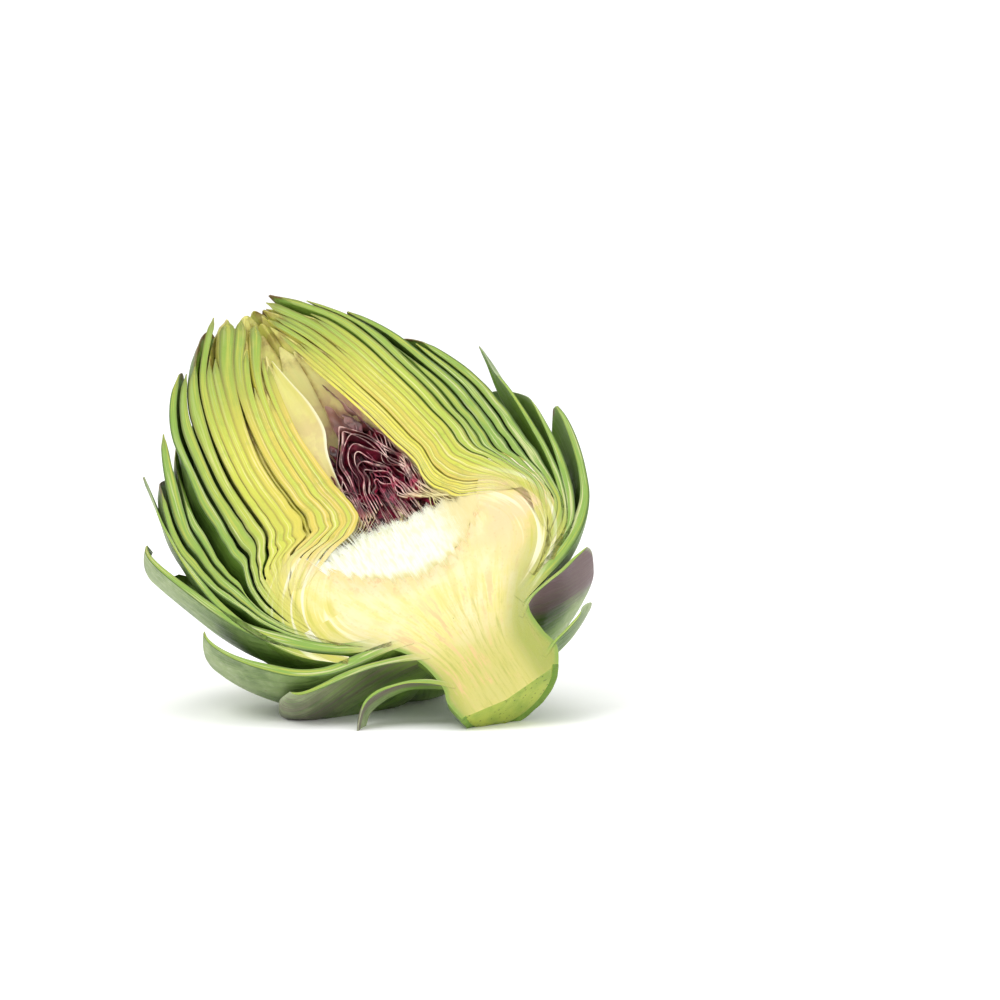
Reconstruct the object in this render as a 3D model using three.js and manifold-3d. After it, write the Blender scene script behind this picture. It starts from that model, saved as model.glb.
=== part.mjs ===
// A globe artichoke cut in half from tip to stem, lying on its round back with the cut face leaning back.
// Millimetres, +Z up. The head is modelled in its own frame and then turned into its resting pose:
//   x  across the cut face, to the right
//   y  behind the cut face
//   z  along the head, from the stem to the tip, with 0 at the broadest part of the heart
// A place on the head is given by its radius from the head's axis, its height z and its turn about the
// axis: 0 is the right edge of the cut, PI the left edge, and the half that is kept lies between them.

import * as THREE from 'three';
import { mergeVertices } from 'three/addons/utils/BufferGeometryUtils.js';
import Module from 'manifold-3d';

const wasm = await Module();
wasm.setup();

// ---------------------------------------------------------------- driving dimensions

const DEG = Math.PI / 180;
const ROLL = 31 * DEG;            // the head's axis leans to the left in the cut face
const LEAN = 31 * DEG;            // the cut face leans back from upright
const PART_GAP = 0.35;            // clearance between pieces of different tissue
const BLADE_MIN = 0.6;            // thinnest bract
const FLOOR_TRIM = 0.5;           // how much of the lowest bracts is pressed flat

const BRACT_COUNT = 58;           // bracts of the whole closed head
const FIRST_GREEN = 33;           // bracts from this one outwards are green, and the ones inside it yellow
const GOLDEN_TURN = 137.508 * DEG;
const FIRST_TURN = 20 * DEG;
const BRACT_STEPS = 3;            // half the turn that one bract covers, in facets
const SIDE_POWER = 1.9;           // roundness of a bract's outline sideways
const TOP_POWER = 1.6;            // and upwards
const ROOM_BEYOND = 1.45;         // outline value at which a bract takes no more room
const SHOULDER = 0.52;            // share of its length at which an inner bract starts to narrow
const SHOULDER_DROP = 0.2;        // how much sooner the outermost one does
const OUTER_FROM = 0.62;          // bracts from this layer outwards get shorter
const OUTER_DROP = 0.3;           // share of its length that the outermost one lacks
const INNER_TO = 0.16;            // bracts from this layer inwards get shorter too
const INNER_DROP = 0.1;
const FLARE_FROM = 0.6;           // bracts from this layer outwards stand off at their tips
const FLARE = 5;                  // how far, for one whole step of the layer number
const BRACT_ROOM = 2;             // thickness of head that the innermost bract takes
const ROOM_GAIN = 1.6;            // and how much more the outermost one does
const FILLING = 0.8;              // share of that room that the innermost bract fills
const FILLING_DROP = 0.2;
const ROOT_END = 0.22;            // share of the length at which the roots are left
const COLOUR_ROOM = 1.7;          // extra room between the last yellow bract and the first green one
const COLOUR_STEP = 0.03;         // and the same at their roots, in layers
const BASE_SWELL = 0.07;          // how much thicker a bract's fleshy base is, in layers
const ROOM_STEPS = 40;            // steps at which the whole room is summed, along and round

const RIND = 1.5;                 // green skin of the stem and of the head's underside
const STEM_END = -34.4;
const CHOKE_BED = 3.6;            // lowest point of the bowl that holds the choke
const TURN_STEPS = 12;            // facets round the kept half
const TURN_STEP = Math.PI / TURN_STEPS;

// The bracts lie in a nested family of surfaces. Each row is one layer's line from root to tip in the cut
// face, as [radius, height], from the innermost layer to the outermost one.
const ALONG = [0, 0.08, 0.16, 0.26, 0.4, 0.55, 0.7, 0.85, 1];
const LAYERS = [0, 0.25, 0.5, 0.75, 1];
const LEVELS = [0, 0.08, 0.16, 0.25, 0.4, 0.58, 0.78, 1.02];
const LEFT_LINES = [
  [[18, 20], [13.5, 22.6], [10, 26.5], [8.3, 32], [7.6, 41], [6.4, 51], [4.4, 62], [2.2, 73], [0.6, 82]],
  [[28.5, 20], [26, 24], [21.3, 25.8], [17.8, 29.5], [17.8, 39], [17.2, 50], [14.5, 63], [9.5, 76], [3.5, 87]],
  [[32, 13], [33.6, 19.5], [32.3, 25.5], [29.6, 31], [28.9, 40], [28.3, 50], [25.3, 63], [18.5, 77], [8.5, 90]],
  [[33, 5.5], [36.6, 12], [38.8, 20], [39.4, 28], [39.5, 38.5], [38.4, 50], [34.5, 62], [25.5, 76], [12, 90.5]],
  [[27, -1.5], [34, 4], [39.8, 12], [44.7, 21.5], [48.3, 34], [47.8, 47], [43, 61], [31.5, 76], [14.5, 91]],
];
const RIGHT_LINES = [
  [[17.5, 16], [14.8, 19.5], [13, 24], [12.3, 31], [11.2, 40], [9, 50], [6.5, 60], [3.5, 71], [0.6, 82]],
  [[27.5, 13], [25.3, 17.4], [20.8, 19.8], [18, 25], [17.6, 35], [15.8, 47], [12.8, 59], [8.5, 72], [2.2, 84.5]],
  [[31, 8.5], [31.2, 15], [28.7, 20.5], [25.3, 26], [24.3, 36], [22, 48], [18.5, 60], [12.3, 73.5], [3.6, 86.5]],
  [[33.5, 2], [36.3, 9.5], [35.2, 17], [33.4, 24], [33, 35], [30.5, 47], [25.5, 59.5], [17.2, 73.5], [5, 88]],
  [[29, -6], [37.6, -0.5], [40.8, 8], [42.2, 19], [41.7, 33], [37.5, 48], [30.7, 61], [19.5, 74], [6.5, 88.8]],
];

// Outline of the heart and stem in the cut face, from the middle of the stem's end round to the choke's
// bed, as [radius, height]. The two sides have the same number of points.
const LEFT_FLESH = [
  [0, STEM_END], [11.6, -33.2], [12.4, -28], [11.2, -24], [12.4, -17], [15.4, -10.8], [20, -7.4],
  [25.5, -4.8], [30.5, -0.6], [34.6, 6], [36.2, 13], [34.6, 20.4], [29, 24.6], [24.2, 23],
  [19.6, 17.4], [13.5, 10.9], [7, 6.3], [0, CHOKE_BED],
];
const RIGHT_FLESH = [
  [0, STEM_END], [15.4, -33], [17.6, -28.5], [16.6, -23.5], [16.8, -17.5], [20, -13], [25, -10.6],
  [31, -7.8], [35.6, -2.8], [38, 3.5], [37.9, 10], [34.8, 16.8], [30, 19.6], [25.4, 18.6],
  [20.4, 14], [15.5, 8.6], [8, 4.8], [0, CHOKE_BED],
];
const RIND_START = 1;             // outline point where the green skin begins, at the stem's end
const RIND_END = 10;              // outline point where it ends, below the first yellow bract
const CLEARED_BRACTS = 9;         // green bracts that lie against yellow ones
const CUT_THROUGH = 0.2;          // how far the clearing cut round the flesh runs past the cut face
const BLOCK_WIDTH = 300;          // blocks that cut the half off flat, at the surface under it and in front
const BLOCK_HEIGHT = 40;

// Outline of the choke's body and of the purple bracts' core, from the head's axis round to it again.
const CHOKE_LEFT = [[0, 2], [10, 4], [19.4, 14.4], [16.4, 18], [12, 19.2], [6, 19.4], [0, 18.6]];
const CHOKE_RIGHT = [[0, 2], [10, 3], [18.4, 11.6], [15.2, 15], [11, 17], [5, 17.4], [0, 18.6]];
const PURPLE_LEFT = [[0, 22.4], [4.8, 22.4], [5.4, 30], [4.6, 40], [2.6, 49], [0.8, 56], [0, 60]];
const PURPLE_RIGHT = [[0, 22.4], [8.6, 22.4], [10, 30], [9, 38], [7, 46], [4.4, 54], [0, 60]];
const PURPLE_RECESS = 2.2;        // how far the purple core lies behind the cut face
const PURPLE_MARGIN = 0.3;        // and the least that its leaflets do

const HAIRS = 96;                 // hairs on the whole choke, of which half are kept
const HAIR_SIDES = 3;
const HAIR_SPREAD = 11.2;         // radius that the hairs cover
const HAIR_ROOT = 15.4;
const HAIR_TIP = 20.4;
const HAIR_WIDTH = 0.75;          // radius of a hair at its root

const LEAFLETS = 22;              // small purple bracts on the whole core
const LEAFLET_LENGTH = 11;
const LEAFLET_WIDTH = 5;
const LEAFLET_LEAN = 1.5;         // how far a leaflet's tip stands off the core
const LEAFLET_ROOT = 1.2;         // and how deep its root lies in it
const LEAFLET_LOW = 24;           // heights between which the leaflets start
const LEAFLET_HIGH = 44;
const LEAFLET_ARCH = 0.5;         // how high a leaflet arches along its length
const LEAFLET_CUP = 1.2;          // how much its edges fall back for the square of half its width
const FRONT_CLEAR = 0.16 * Math.PI; // turn next to the cut face that the leaflets on the core keep clear of
const FRONT_NARROWER = 0.8;       // the leaflets at the front are narrower
const FRONT_ROOT = 0.6;           // and run from this depth in the core
const FRONT_TIP = 0.9;            // to this height above it
// The leaflets that lie against the core's front, from place to place as [x, z].
const FRONT_LEAFLETS = [
  [[-2.5, 24], [-4, 35]], [[2.5, 25], [1.5, 38]], [[7, 24.5], [8.2, 36]], [[-1.5, 32], [-2, 44]],
  [[5, 33], [5.4, 46]], [[1, 39], [1.6, 52]],
];

// The loose bracts round the head's underside and stem. Each has its turn about the axis, its line from
// root to tip as [radius, height], its half width as a turn at the base and where it is widest, its
// thickness at the base and at the tip, and how far its side edges hug the head.
const LOOSE_ACROSS = 4;
const LOOSE_ALONG = 6;
const LOOSE_BRACTS = [
  {
    turn: 164, base: 30, wide: 36, thick: 3.4, thin: 1.2, cup: 0,
    line: [
      [17, -7.5], [25, -4.8], [31, -1], [37, 4.8], [42, 11],
      [46, 18.5], [49.3, 27], [51.8, 36], [54.5, 49],
    ],
  },
  {
    turn: 174, base: 34, wide: 34, thick: 2.8, thin: 1, cup: 0,
    line: [
      [12, -10], [19, -8.2], [26, -7.3], [32, -6.6], [38, -3.5],
      [43, 1.6], [47, 6.5], [51, 11], [55.2, 15.6],
    ],
  },
  {
    turn: 150, base: 50, wide: 38, thick: 2, thin: 1, cup: 3,
    line: [
      [10.5, -15.5], [18, -13.6], [25, -11.8], [32, -10.4],
      [39.5, -7.4], [45, -3.6], [49, 1.4], [50.5, 5],
    ],
  },
  {
    turn: 172, base: 34, wide: 20, thick: 1.2, thin: 0.8, cup: 0,
    line: [
      [8.5, -25.4], [12, -22], [16, -19.4], [20, -17.8],
      [25, -17.1], [29.5, -17.9], [32, -19.1], [33.6, -20.4],
    ],
  },
  {
    turn: 126, base: 30, wide: 36, thick: 3, thin: 1.2, cup: 0,
    line: [[18, -8], [26, -6], [33, -2.6], [40, 3.5], [45, 10.5], [48.3, 19], [50, 29], [50.3, 40]],
  },
  {
    turn: 92, base: 44, wide: 36, thick: 2.2, thin: 1, cup: 12,
    line: [[12, -13], [19, -13.2], [27, -13.1], [35, -12.4], [42.5, -10.1], [49, -5.3], [53, 1.2], [55, 8]],
  },
  {
    turn: 84, base: 30, wide: 36, thick: 3, thin: 1.2, cup: 0,
    line: [[20, -9.4], [27, -7.6], [34, -4.2], [40, 1.6], [44.6, 8.5], [47.6, 17], [49, 27], [48.6, 38]],
  },
  {
    turn: 62, base: 42, wide: 38, thick: 2, thin: 1, cup: 2,
    line: [[13, -16], [20, -14.2], [28, -12.4], [35, -10], [41.5, -5.6], [46, 0], [49, 7], [50.3, 13]],
  },
  {
    turn: 44, base: 30, wide: 34, thick: 2.8, thin: 1.2, cup: 0,
    line: [[20, -10.6], [28, -8.4], [35, -4.6], [41, 1], [45, 8], [47.4, 17], [48.4, 28], [47.6, 40]],
  },
  {
    turn: 24, base: 30, wide: 36, thick: 2.8, thin: 0.8, cup: 0,
    line: [
      [22, -9.6], [30, -7], [36.5, -3.4], [40.8, 3], [43.4, 10],
      [45, 19], [45.6, 30], [45, 41], [43.5, 56],
    ],
  },
  {
    turn: 12, base: 32, wide: 32, thick: 3.2, thin: 1, cup: 0,
    line: [
      [16, -13.8], [24, -10.9], [31.5, -8.2], [38, -4.6], [43.3, 0.6],
      [46.6, 7], [48.9, 14], [50.3, 21], [51, 26],
    ],
  },
  {
    turn: 28, base: 44, wide: 32, thick: 1.1, thin: 0.8, cup: 0,
    line: [[14, -18], [19, -14.6], [25, -13.4], [31, -12.6], [36, -11.2], [41, -8.8], [45, -6.8]],
  },
  {
    turn: 16, base: 30, wide: 20, thick: 1.1, thin: 0.8, cup: 0,
    line: [[13.5, -29.6], [18, -27.6], [23, -26.2], [28, -24.2], [33, -21.2]],
  },
];

// ---------------------------------------------------------------- small mathematics

function lerp(a, b, t) {
  return a + (b - a) * t;
}

function smoothstep(low, high, x) {
  const t = Math.min(Math.max((x - low) / (high - low), 0), 1);
  return t * t * (3 - 2 * t);
}

// A repeatable draw between -1 and 1 for item k of one kind.
function draw(k, kind) {
  const wave = Math.sin(k * 12.9898 + kind * 78.233) * 43758.5453;
  return 2 * (wave - Math.floor(wave)) - 1;
}

// Cubic through [radius, height] points, with the slope at a point taken across its two neighbours.
function curveAt(knots, points, t) {
  const last = knots.length - 1;
  let k = 0;
  while (k < last - 1 && t > knots[k + 1]) k += 1;
  const width = knots[k + 1] - knots[k];
  const f = (t - knots[k]) / width;
  const slope = (i, axis) => {
    const low = Math.max(i - 1, 0);
    const high = Math.min(i + 1, last);
    return (points[high][axis] - points[low][axis]) / (knots[high] - knots[low]);
  };
  return [0, 1].map((axis) => {
    const a = points[k][axis];
    const b = points[k + 1][axis];
    if (f < 0) return a + slope(k, axis) * width * f;
    if (f > 1) return b + slope(k + 1, axis) * width * (f - 1);
    const f2 = f * f;
    const f3 = f2 * f;
    return (2 * f3 - 3 * f2 + 1) * a + (f3 - 2 * f2 + f) * width * slope(k, axis)
      + (3 * f2 - 2 * f3) * b + (f3 - f2) * width * slope(k + 1, axis);
  });
}

function evenKnots(count) {
  return Array.from({ length: count }, (_, i) => i / (count - 1));
}

// The head's place for a radius, a height and a turn about its axis. The cut edges lie exactly at y = 0.
function place(radius, height, turn) {
  const depth = turn === Math.PI ? 0 : radius * Math.sin(turn);
  return new THREE.Vector3(radius * Math.cos(turn), depth, height);
}

// Share of the right-hand outline at a turn: 1 at the right edge, 0 at the left edge.
function rightShare(turn) {
  return (1 + Math.cos(turn)) / 2;
}

// ---------------------------------------------------------------- solids from surfaces

const MERGE_WITHIN = 1e-3;

function solidFrom(points, faces) {
  let volume = 0;
  for (const [a, b, c] of faces) {
    volume += points[a].dot(new THREE.Vector3().crossVectors(points[b], points[c]));
  }
  const geometry = new THREE.BufferGeometry();
  geometry.setAttribute('position', new THREE.Float32BufferAttribute(points.flatMap((p) => p.toArray()), 3));
  geometry.setIndex(faces.flatMap((f) => (volume < 0 ? [f[0], f[2], f[1]] : f)));
  return toManifold(geometry);
}

function toManifold(geometry) {
  const bare = geometry.clone();
  bare.deleteAttribute('normal');
  bare.deleteAttribute('uv');
  const merged = mergeVertices(bare, MERGE_WITHIN);
  const index = merged.index.array;
  const triangles = [];
  for (let i = 0; i < index.length; i += 3) {
    const [a, b, c] = [index[i], index[i + 1], index[i + 2]];
    if (a !== b && b !== c && a !== c) triangles.push(a, b, c);
  }
  return new wasm.Manifold(new wasm.Mesh({
    numProp: 3,
    vertProperties: new Float32Array(merged.attributes.position.array),
    triVerts: new Uint32Array(triangles),
  }));
}

// A thin solid between two sheets of the same grid, closed by a rim all round. Both sheets are split into
// triangles alike. The functions give the place of grid point i across and j along.
function sheetSolid(across, along, front, back) {
  const points = [];
  for (const sheet of [front, back]) {
    for (let j = 0; j <= along; j += 1) {
      for (let i = 0; i <= across; i += 1) points.push(sheet(i, j));
    }
  }
  const row = across + 1;
  const other = row * (along + 1);
  const faces = [];
  for (let j = 0; j < along; j += 1) {
    for (let i = 0; i < across; i += 1) {
      const a = j * row + i;
      faces.push([a, a + 1, a + row + 1], [a, a + row + 1, a + row]);
      faces.push([other + a, other + a + row + 1, other + a + 1]);
      faces.push([other + a, other + a + row, other + a + row + 1]);
    }
  }
  const rim = [];
  for (let i = 0; i < across; i += 1) rim.push(i);
  for (let j = 0; j < along; j += 1) rim.push(j * row + across);
  for (let i = across; i > 0; i -= 1) rim.push(along * row + i);
  for (let j = along; j > 0; j -= 1) rim.push(j * row);
  rim.forEach((a, k) => {
    const b = rim[(k + 1) % rim.length];
    faces.push([a, other + a, other + b], [a, other + b, b]);
  });
  return solidFrom(points, faces);
}

// Half a turn of an outline that starts and ends on the head's axis, closed by its cut face. It may run
// a little past the cut on both sides, as a tool that has to cut right through does.
function halfTurnSolid(leftLine, rightLine, past) {
  const steps = TURN_STEPS;
  const count = leftLine.length;
  const points = [];
  const faces = [];
  for (let k = 0; k <= steps; k += 1) {
    const turn = k * TURN_STEP;
    const share = rightShare(turn);
    for (let i = 0; i < count; i += 1) {
      const radius = lerp(leftLine[i][0], rightLine[i][0], share);
      const point = place(radius, lerp(leftLine[i][1], rightLine[i][1], share), turn);
      if (k === 0 || k === steps) point.y = -past;
      points.push(point);
    }
  }
  for (let k = 0; k < steps; k += 1) {
    for (let i = 0; i < count - 1; i += 1) {
      const a = k * count + i;
      faces.push([a, a + count, a + count + 1], [a, a + count + 1, a + 1]);
    }
  }
  const ring = [];
  for (let i = 0; i < count; i += 1) ring.push(i);
  for (let i = count - 2; i > 0; i -= 1) ring.push(steps * count + i);
  const flat = ring.map((i) => new THREE.Vector2(points[i].x, points[i].z));
  const facing = THREE.ShapeUtils.area(flat) > 0 ? 1 : -1;
  for (const [a, b, c] of THREE.ShapeUtils.triangulateShape(flat, [])) {
    const area = THREE.ShapeUtils.area([flat[a], flat[b], flat[c]]);
    faces.push(area * facing > 0 ? [ring[a], ring[b], ring[c]] : [ring[a], ring[c], ring[b]]);
  }
  return solidFrom(points, faces);
}

// The outline moved inwards by a distance at each point, square to its own run.
function insetLine(line, distances) {
  return line.map((point, i) => {
    const before = line[Math.max(i - 1, 0)];
    const after = line[Math.min(i + 1, line.length - 1)];
    const run = new THREE.Vector2(after[0] - before[0], after[1] - before[1]).normalize();
    if (point[0] === 0) return [0, point[1] + Math.sign(run.x) * distances[i]];
    return [point[0] - run.y * distances[i], point[1] + run.x * distances[i]];
  });
}

// ---------------------------------------------------------------- the closed head's bracts

const LAYER_STEP = 0.004;

// Radius and height on the family of layers at a turn: layer 0 is the innermost, 1 the outermost.
function onLayer(layer, along, turn) {
  const k = Math.min(Math.max(Math.floor(layer * 4), 0), 3);
  const f = (layer - LAYERS[k]) / (LAYERS[k + 1] - LAYERS[k]);
  const share = rightShare(turn);
  const side = (lines) => {
    const inner = curveAt(ALONG, lines[k], along);
    const outer = curveAt(ALONG, lines[k + 1], along);
    return [lerp(inner[0], outer[0], f), lerp(inner[1], outer[1], f)];
  };
  const left = side(LEFT_LINES);
  const right = side(RIGHT_LINES);
  return [lerp(left[0], right[0], share), lerp(left[1], right[1], share)];
}

// Distance between layers, square to them, in millimetres for one whole step of the layer number.
function layerSpread(layer, along, turn) {
  const here = onLayer(layer, along, turn);
  const out = onLayer(layer + LAYER_STEP, along, turn);
  const up = onLayer(layer, along + LAYER_STEP, turn);
  const run = new THREE.Vector2(up[0] - here[0], up[1] - here[1]).normalize();
  const step = new THREE.Vector2(out[0] - here[0], out[1] - here[1]);
  return Math.abs(run.cross(step)) / LAYER_STEP;
}

function turnBetween(a, b) {
  return Math.abs(THREE.MathUtils.euclideanModulo(a - b + Math.PI, 2 * Math.PI) - Math.PI);
}

// Bract number k of the spiral, counted from the middle of the head outwards.
function spiralBract(k) {
  const layer = (k + 0.5) / BRACT_COUNT;
  const outer = Math.max(0, (layer - OUTER_FROM) / (1 - OUTER_FROM));
  const inner = Math.max(0, (INNER_TO - layer) / INNER_TO);
  const tip = 1 - OUTER_DROP * Math.pow(outer, 1.15) - INNER_DROP * inner + 0.01 * draw(k, 1);
  const halfSteps = Math.round((FIRST_TURN + k * GOLDEN_TURN) / (TURN_STEP / 2));
  return {
    layer,
    tip,
    number: k,
    turn: halfSteps * TURN_STEP / 2,
    halfWidth: (BRACT_STEPS - (halfSteps % 2) / 2) * TURN_STEP,
    shoulder: tip * (SHOULDER - SHOULDER_DROP * outer + 0.04 * draw(k, 3)),
    room: (BRACT_ROOM + ROOM_GAIN * layer) * (1 + 0.14 * draw(k, 4)),
    filling: FILLING - FILLING_DROP * layer + 0.08 * draw(k, 5),
    flare: Math.max(0, layer - FLARE_FROM) * FLARE,
  };
}

const spiral = Array.from({ length: BRACT_COUNT }, (_, k) => spiralBract(k));

// 0 in the middle of a bract, 1 on its outline and more outside it.
function outlineValue(bract, along, turn) {
  const sideways = turnBetween(turn, bract.turn) / bract.halfWidth;
  const upwards = Math.max(0, (along - bract.shoulder) / (bract.tip - bract.shoulder));
  return Math.pow(sideways, SIDE_POWER) + Math.pow(upwards, TOP_POWER);
}

function outlineTop(bract, turn) {
  const sideways = Math.min(turnBetween(turn, bract.turn) / bract.halfWidth, 1);
  const rise = Math.pow(1 - Math.pow(sideways, SIDE_POWER), 1 / TOP_POWER);
  return lerp(bract.shoulder, bract.tip, rise);
}

// How far a bract's tip stands off the bracts inside it.
function standOff(bract, along) {
  const upwards = Math.max(0, (along - bract.shoulder) / (bract.tip - bract.shoulder));
  return bract.flare * Math.pow(Math.min(upwards, 1.2), 3);
}

// Room that a bract takes from the bracts outside it: all of it on the blade, and none well outside it.
function roomTaken(bract, along, turn) {
  const cover = 1 - smoothstep(1, ROOM_BEYOND, outlineValue(bract, along, turn));
  return cover === 0 ? 0 : cover * (bract.room + standOff(bract, along));
}

function roomInside(number, along, turn) {
  let room = number >= FIRST_GREEN ? COLOUR_ROOM : 0;
  for (let k = 0; k < number; k += 1) room += roomTaken(spiral[k], along, turn);
  return room;
}

const wholeRoom = evenKnots(ROOM_STEPS + 1).map((along) => {
  let sum = 0;
  for (let i = 0; i <= ROOM_STEPS; i += 1) sum += roomInside(BRACT_COUNT, along, Math.PI * i / ROOM_STEPS);
  return sum / (ROOM_STEPS + 1);
});

function wholeRoomAt(along) {
  const at = Math.min(Math.max(along, 0), 1) * ROOM_STEPS;
  const k = Math.min(Math.floor(at), ROOM_STEPS - 1);
  return lerp(wholeRoom[k], wholeRoom[k + 1], at - k);
}

// The inner and outer layer numbers of a bract's two faces. At the root they follow the bract's place on
// the heart, and further up they follow the bracts that lie inside it.
function bractFaces(bract, along, turn) {
  const whole = wholeRoomAt(along);
  const inside = roomInside(bract.number, along, turn) + standOff(bract, along);
  const root = bract.layer + (bract.number >= FIRST_GREEN ? COLOUR_STEP : 0);
  const middle = lerp(root, (inside + bract.room / 2) / whole, smoothstep(0, ROOT_END, along));
  const outline = Math.min(outlineValue(bract, along, turn), 1);
  const upwards = Math.max(0, (along - bract.shoulder) / (bract.tip - bract.shoulder));
  const taper = 1 - 0.4 * Math.pow(Math.min(upwards, 1), 1.5) - 0.3 * (1 - Math.sqrt(1 - outline));
  const thinnest = BLADE_MIN / 2 / Math.max(layerSpread(middle, along, turn), 5);
  const half = Math.max(bract.filling * bract.room * taper / (2 * whole), thinnest);
  const fleshy = BASE_SWELL * (1 - smoothstep(0.02, 0.2, along));
  return [middle - half, middle + half + fleshy];
}

// A bract's two faces meet every other bract's on the same facets, so that none crosses another. Its inner
// face may be moved inwards by some room, for the tool that clears the way to the bracts inside it.
function bractSolid(bract, innerRoom) {
  const from = Math.max(bract.middle - bract.halfWidth, 0);
  const to = Math.min(bract.middle + bract.halfWidth, Math.PI);
  const turns = [];
  for (let k = Math.round(from / TURN_STEP); k <= Math.round(to / TURN_STEP); k += 1) {
    const turn = k === TURN_STEPS ? Math.PI : k * TURN_STEP;
    const between = turn - bract.middle;
    if (between > 0 && between < TURN_STEP * 0.9 && turns.length > 0) turns.push(bract.middle);
    turns.push(turn);
  }
  const sheet = (face) => (i, j) => {
    const turn = turns[i];
    const along = Math.min(LEVELS[j], outlineTop(bract, turn));
    let layer = bractFaces(bract, along, turn)[face];
    if (face === 0) layer -= innerRoom / layerSpread(layer, along, turn);
    const [radius, height] = onLayer(layer, along, turn);
    return place(radius, height, turn);
  };
  return sheetSolid(turns.length - 1, LEVELS.length - 1, sheet(1), sheet(0));
}

// The bracts that reach into the kept half, with their turns brought to that half.
function keptBracts() {
  const kept = [];
  for (const bract of spiral) {
    const middle = THREE.MathUtils.euclideanModulo(bract.turn + Math.PI / 2, 2 * Math.PI) - Math.PI / 2;
    const least = 0.6 * TURN_STEP;
    if (middle > -bract.halfWidth + least && middle < Math.PI + bract.halfWidth - least) {
      kept.push({ ...bract, middle });
    }
  }
  return kept;
}

// ---------------------------------------------------------------- the loose bracts

function looseBractSolid({ turn, line, base, wide, thick, thin, cup }) {
  const knots = evenKnots(line.length);
  const middle = turn * DEG;
  const halfWidth = (v) => {
    const grown = lerp(base, wide, smoothstep(0, 0.4, v)) * DEG;
    const narrowing = Math.max(0, (v - 0.45) / 0.55);
    return grown * Math.pow(1 - 0.985 * Math.pow(narrowing, 2.1), 0.62);
  };
  const sheet = (face) => (i, j) => {
    const u = i / LOOSE_ACROSS;
    const v = j / LOOSE_ALONG;
    const [radius, height] = curveAt(knots, line, v);
    const ahead = curveAt(knots, line, v + LAYER_STEP);
    const run = new THREE.Vector2(ahead[0] - radius, ahead[1] - height).normalize();
    const from = Math.max(middle - halfWidth(v), 0);
    const to = Math.min(middle + halfWidth(v), Math.PI);
    const edge = Math.abs(lerp(from, to, u) - middle) / halfWidth(v);
    const body = lerp(thick, thin, smoothstep(0.25, 1, v));
    const half = Math.max(body * (1 - 0.5 * edge * edge), BLADE_MIN) / 2 * face;
    const hug = cup * edge * edge;
    const at = u === 1 ? to : lerp(from, to, u);
    return place(radius + run.y * half - hug, height - run.x * half + hug / 4, at);
  };
  return sheetSolid(LOOSE_ACROSS, LOOSE_ALONG, sheet(1), sheet(-1));
}

// ---------------------------------------------------------------- heart, skin and choke

function insets(before, after) {
  return LEFT_FLESH.map((_, i) => (i <= RIND_END ? before : after));
}

function fleshSolid(grow, past) {
  const distances = insets(RIND + PART_GAP - grow, -grow);
  distances[0] = -grow;
  return halfTurnSolid(insetLine(LEFT_FLESH, distances), insetLine(RIGHT_FLESH, distances), past);
}

function rindSolid() {
  const stretch = (line) => line.slice(RIND_START, RIND_END + 1);
  const inset = insets(RIND, RIND);
  const outer = [LEFT_FLESH, RIGHT_FLESH].map(stretch);
  const inner = [LEFT_FLESH, RIGHT_FLESH].map((line) => stretch(insetLine(line, inset)));
  const sheet = ([left, right]) => (i, j) => {
    const turn = i === TURN_STEPS ? Math.PI : i * TURN_STEP;
    const share = rightShare(turn);
    return place(lerp(left[j][0], right[j][0], share), lerp(left[j][1], right[j][1], share), turn);
  };
  return sheetSolid(TURN_STEPS, RIND_END - RIND_START, sheet(outer), sheet(inner));
}

// The choke's body, filling its bowl up to the hairs, with the ends of the hairs standing out of it.
function chokeSolid() {
  const hairs = [];
  for (let k = 0; k < HAIRS; k += 1) {
    const radius = HAIR_SPREAD * Math.sqrt((k + 0.5) / HAIRS);
    const turn = (k * GOLDEN_TURN) % (2 * Math.PI);
    if (turn < Math.PI && radius * Math.sin(turn) > HAIR_WIDTH + 0.1) {
      hairs.push(hairSolid(radius, turn, HAIR_TIP + 0.8 * draw(k, 7)));
    }
  }
  const body = halfTurnSolid(CHOKE_LEFT, CHOKE_RIGHT, 0);
  return oneBody(joinAll([body, ...hairs]).subtract(fleshSolid(PART_GAP, CUT_THROUGH)));
}

function hairSolid(radius, turn, top) {
  const length = top - HAIR_ROOT;
  const hair = new THREE.CylinderGeometry(HAIR_WIDTH / 5, HAIR_WIDTH, length, HAIR_SIDES);
  hair.rotateX(Math.PI / 2);
  hair.rotateZ(turn);
  const foot = place(radius, HAIR_ROOT + length / 2, turn);
  return toManifold(hair.translate(foot.x, foot.y, foot.z));
}

// The smallest bracts, folded over the choke: a core a little behind the cut face, with leaflets on it.
function purpleSolid() {
  const core = halfTurnSolid(PURPLE_LEFT, PURPLE_RIGHT, 0);
  const front = new THREE.BoxGeometry(BLOCK_WIDTH, 2 * PURPLE_RECESS, BLOCK_WIDTH);
  const recessed = core.subtract(toManifold(front));
  const margin = new THREE.BoxGeometry(BLOCK_WIDTH, 2 * PURPLE_MARGIN, BLOCK_WIDTH);
  const leaflets = [];
  for (let k = 0; k < LEAFLETS; k += 1) {
    const height = lerp(LEAFLET_LOW, LEAFLET_HIGH, k / LEAFLETS);
    const turn = (k * GOLDEN_TURN) % (2 * Math.PI);
    if (turn < Math.PI) leaflets.push(leafletOnCore(turn, height, k));
  }
  return oneBody(joinAll([recessed, ...leaflets, ...frontLeaflets()]).subtract(toManifold(margin)));
}

function coreRadius(height, turn) {
  const at = (line) => {
    const k = Math.max(line.findIndex((point) => point[1] > height), 2);
    const f = (height - line[k - 1][1]) / (line[k][1] - line[k - 1][1]);
    return lerp(line[k - 1][0], line[k][0], f);
  };
  return lerp(at(PURPLE_LEFT), at(PURPLE_RIGHT), rightShare(turn));
}

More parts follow.
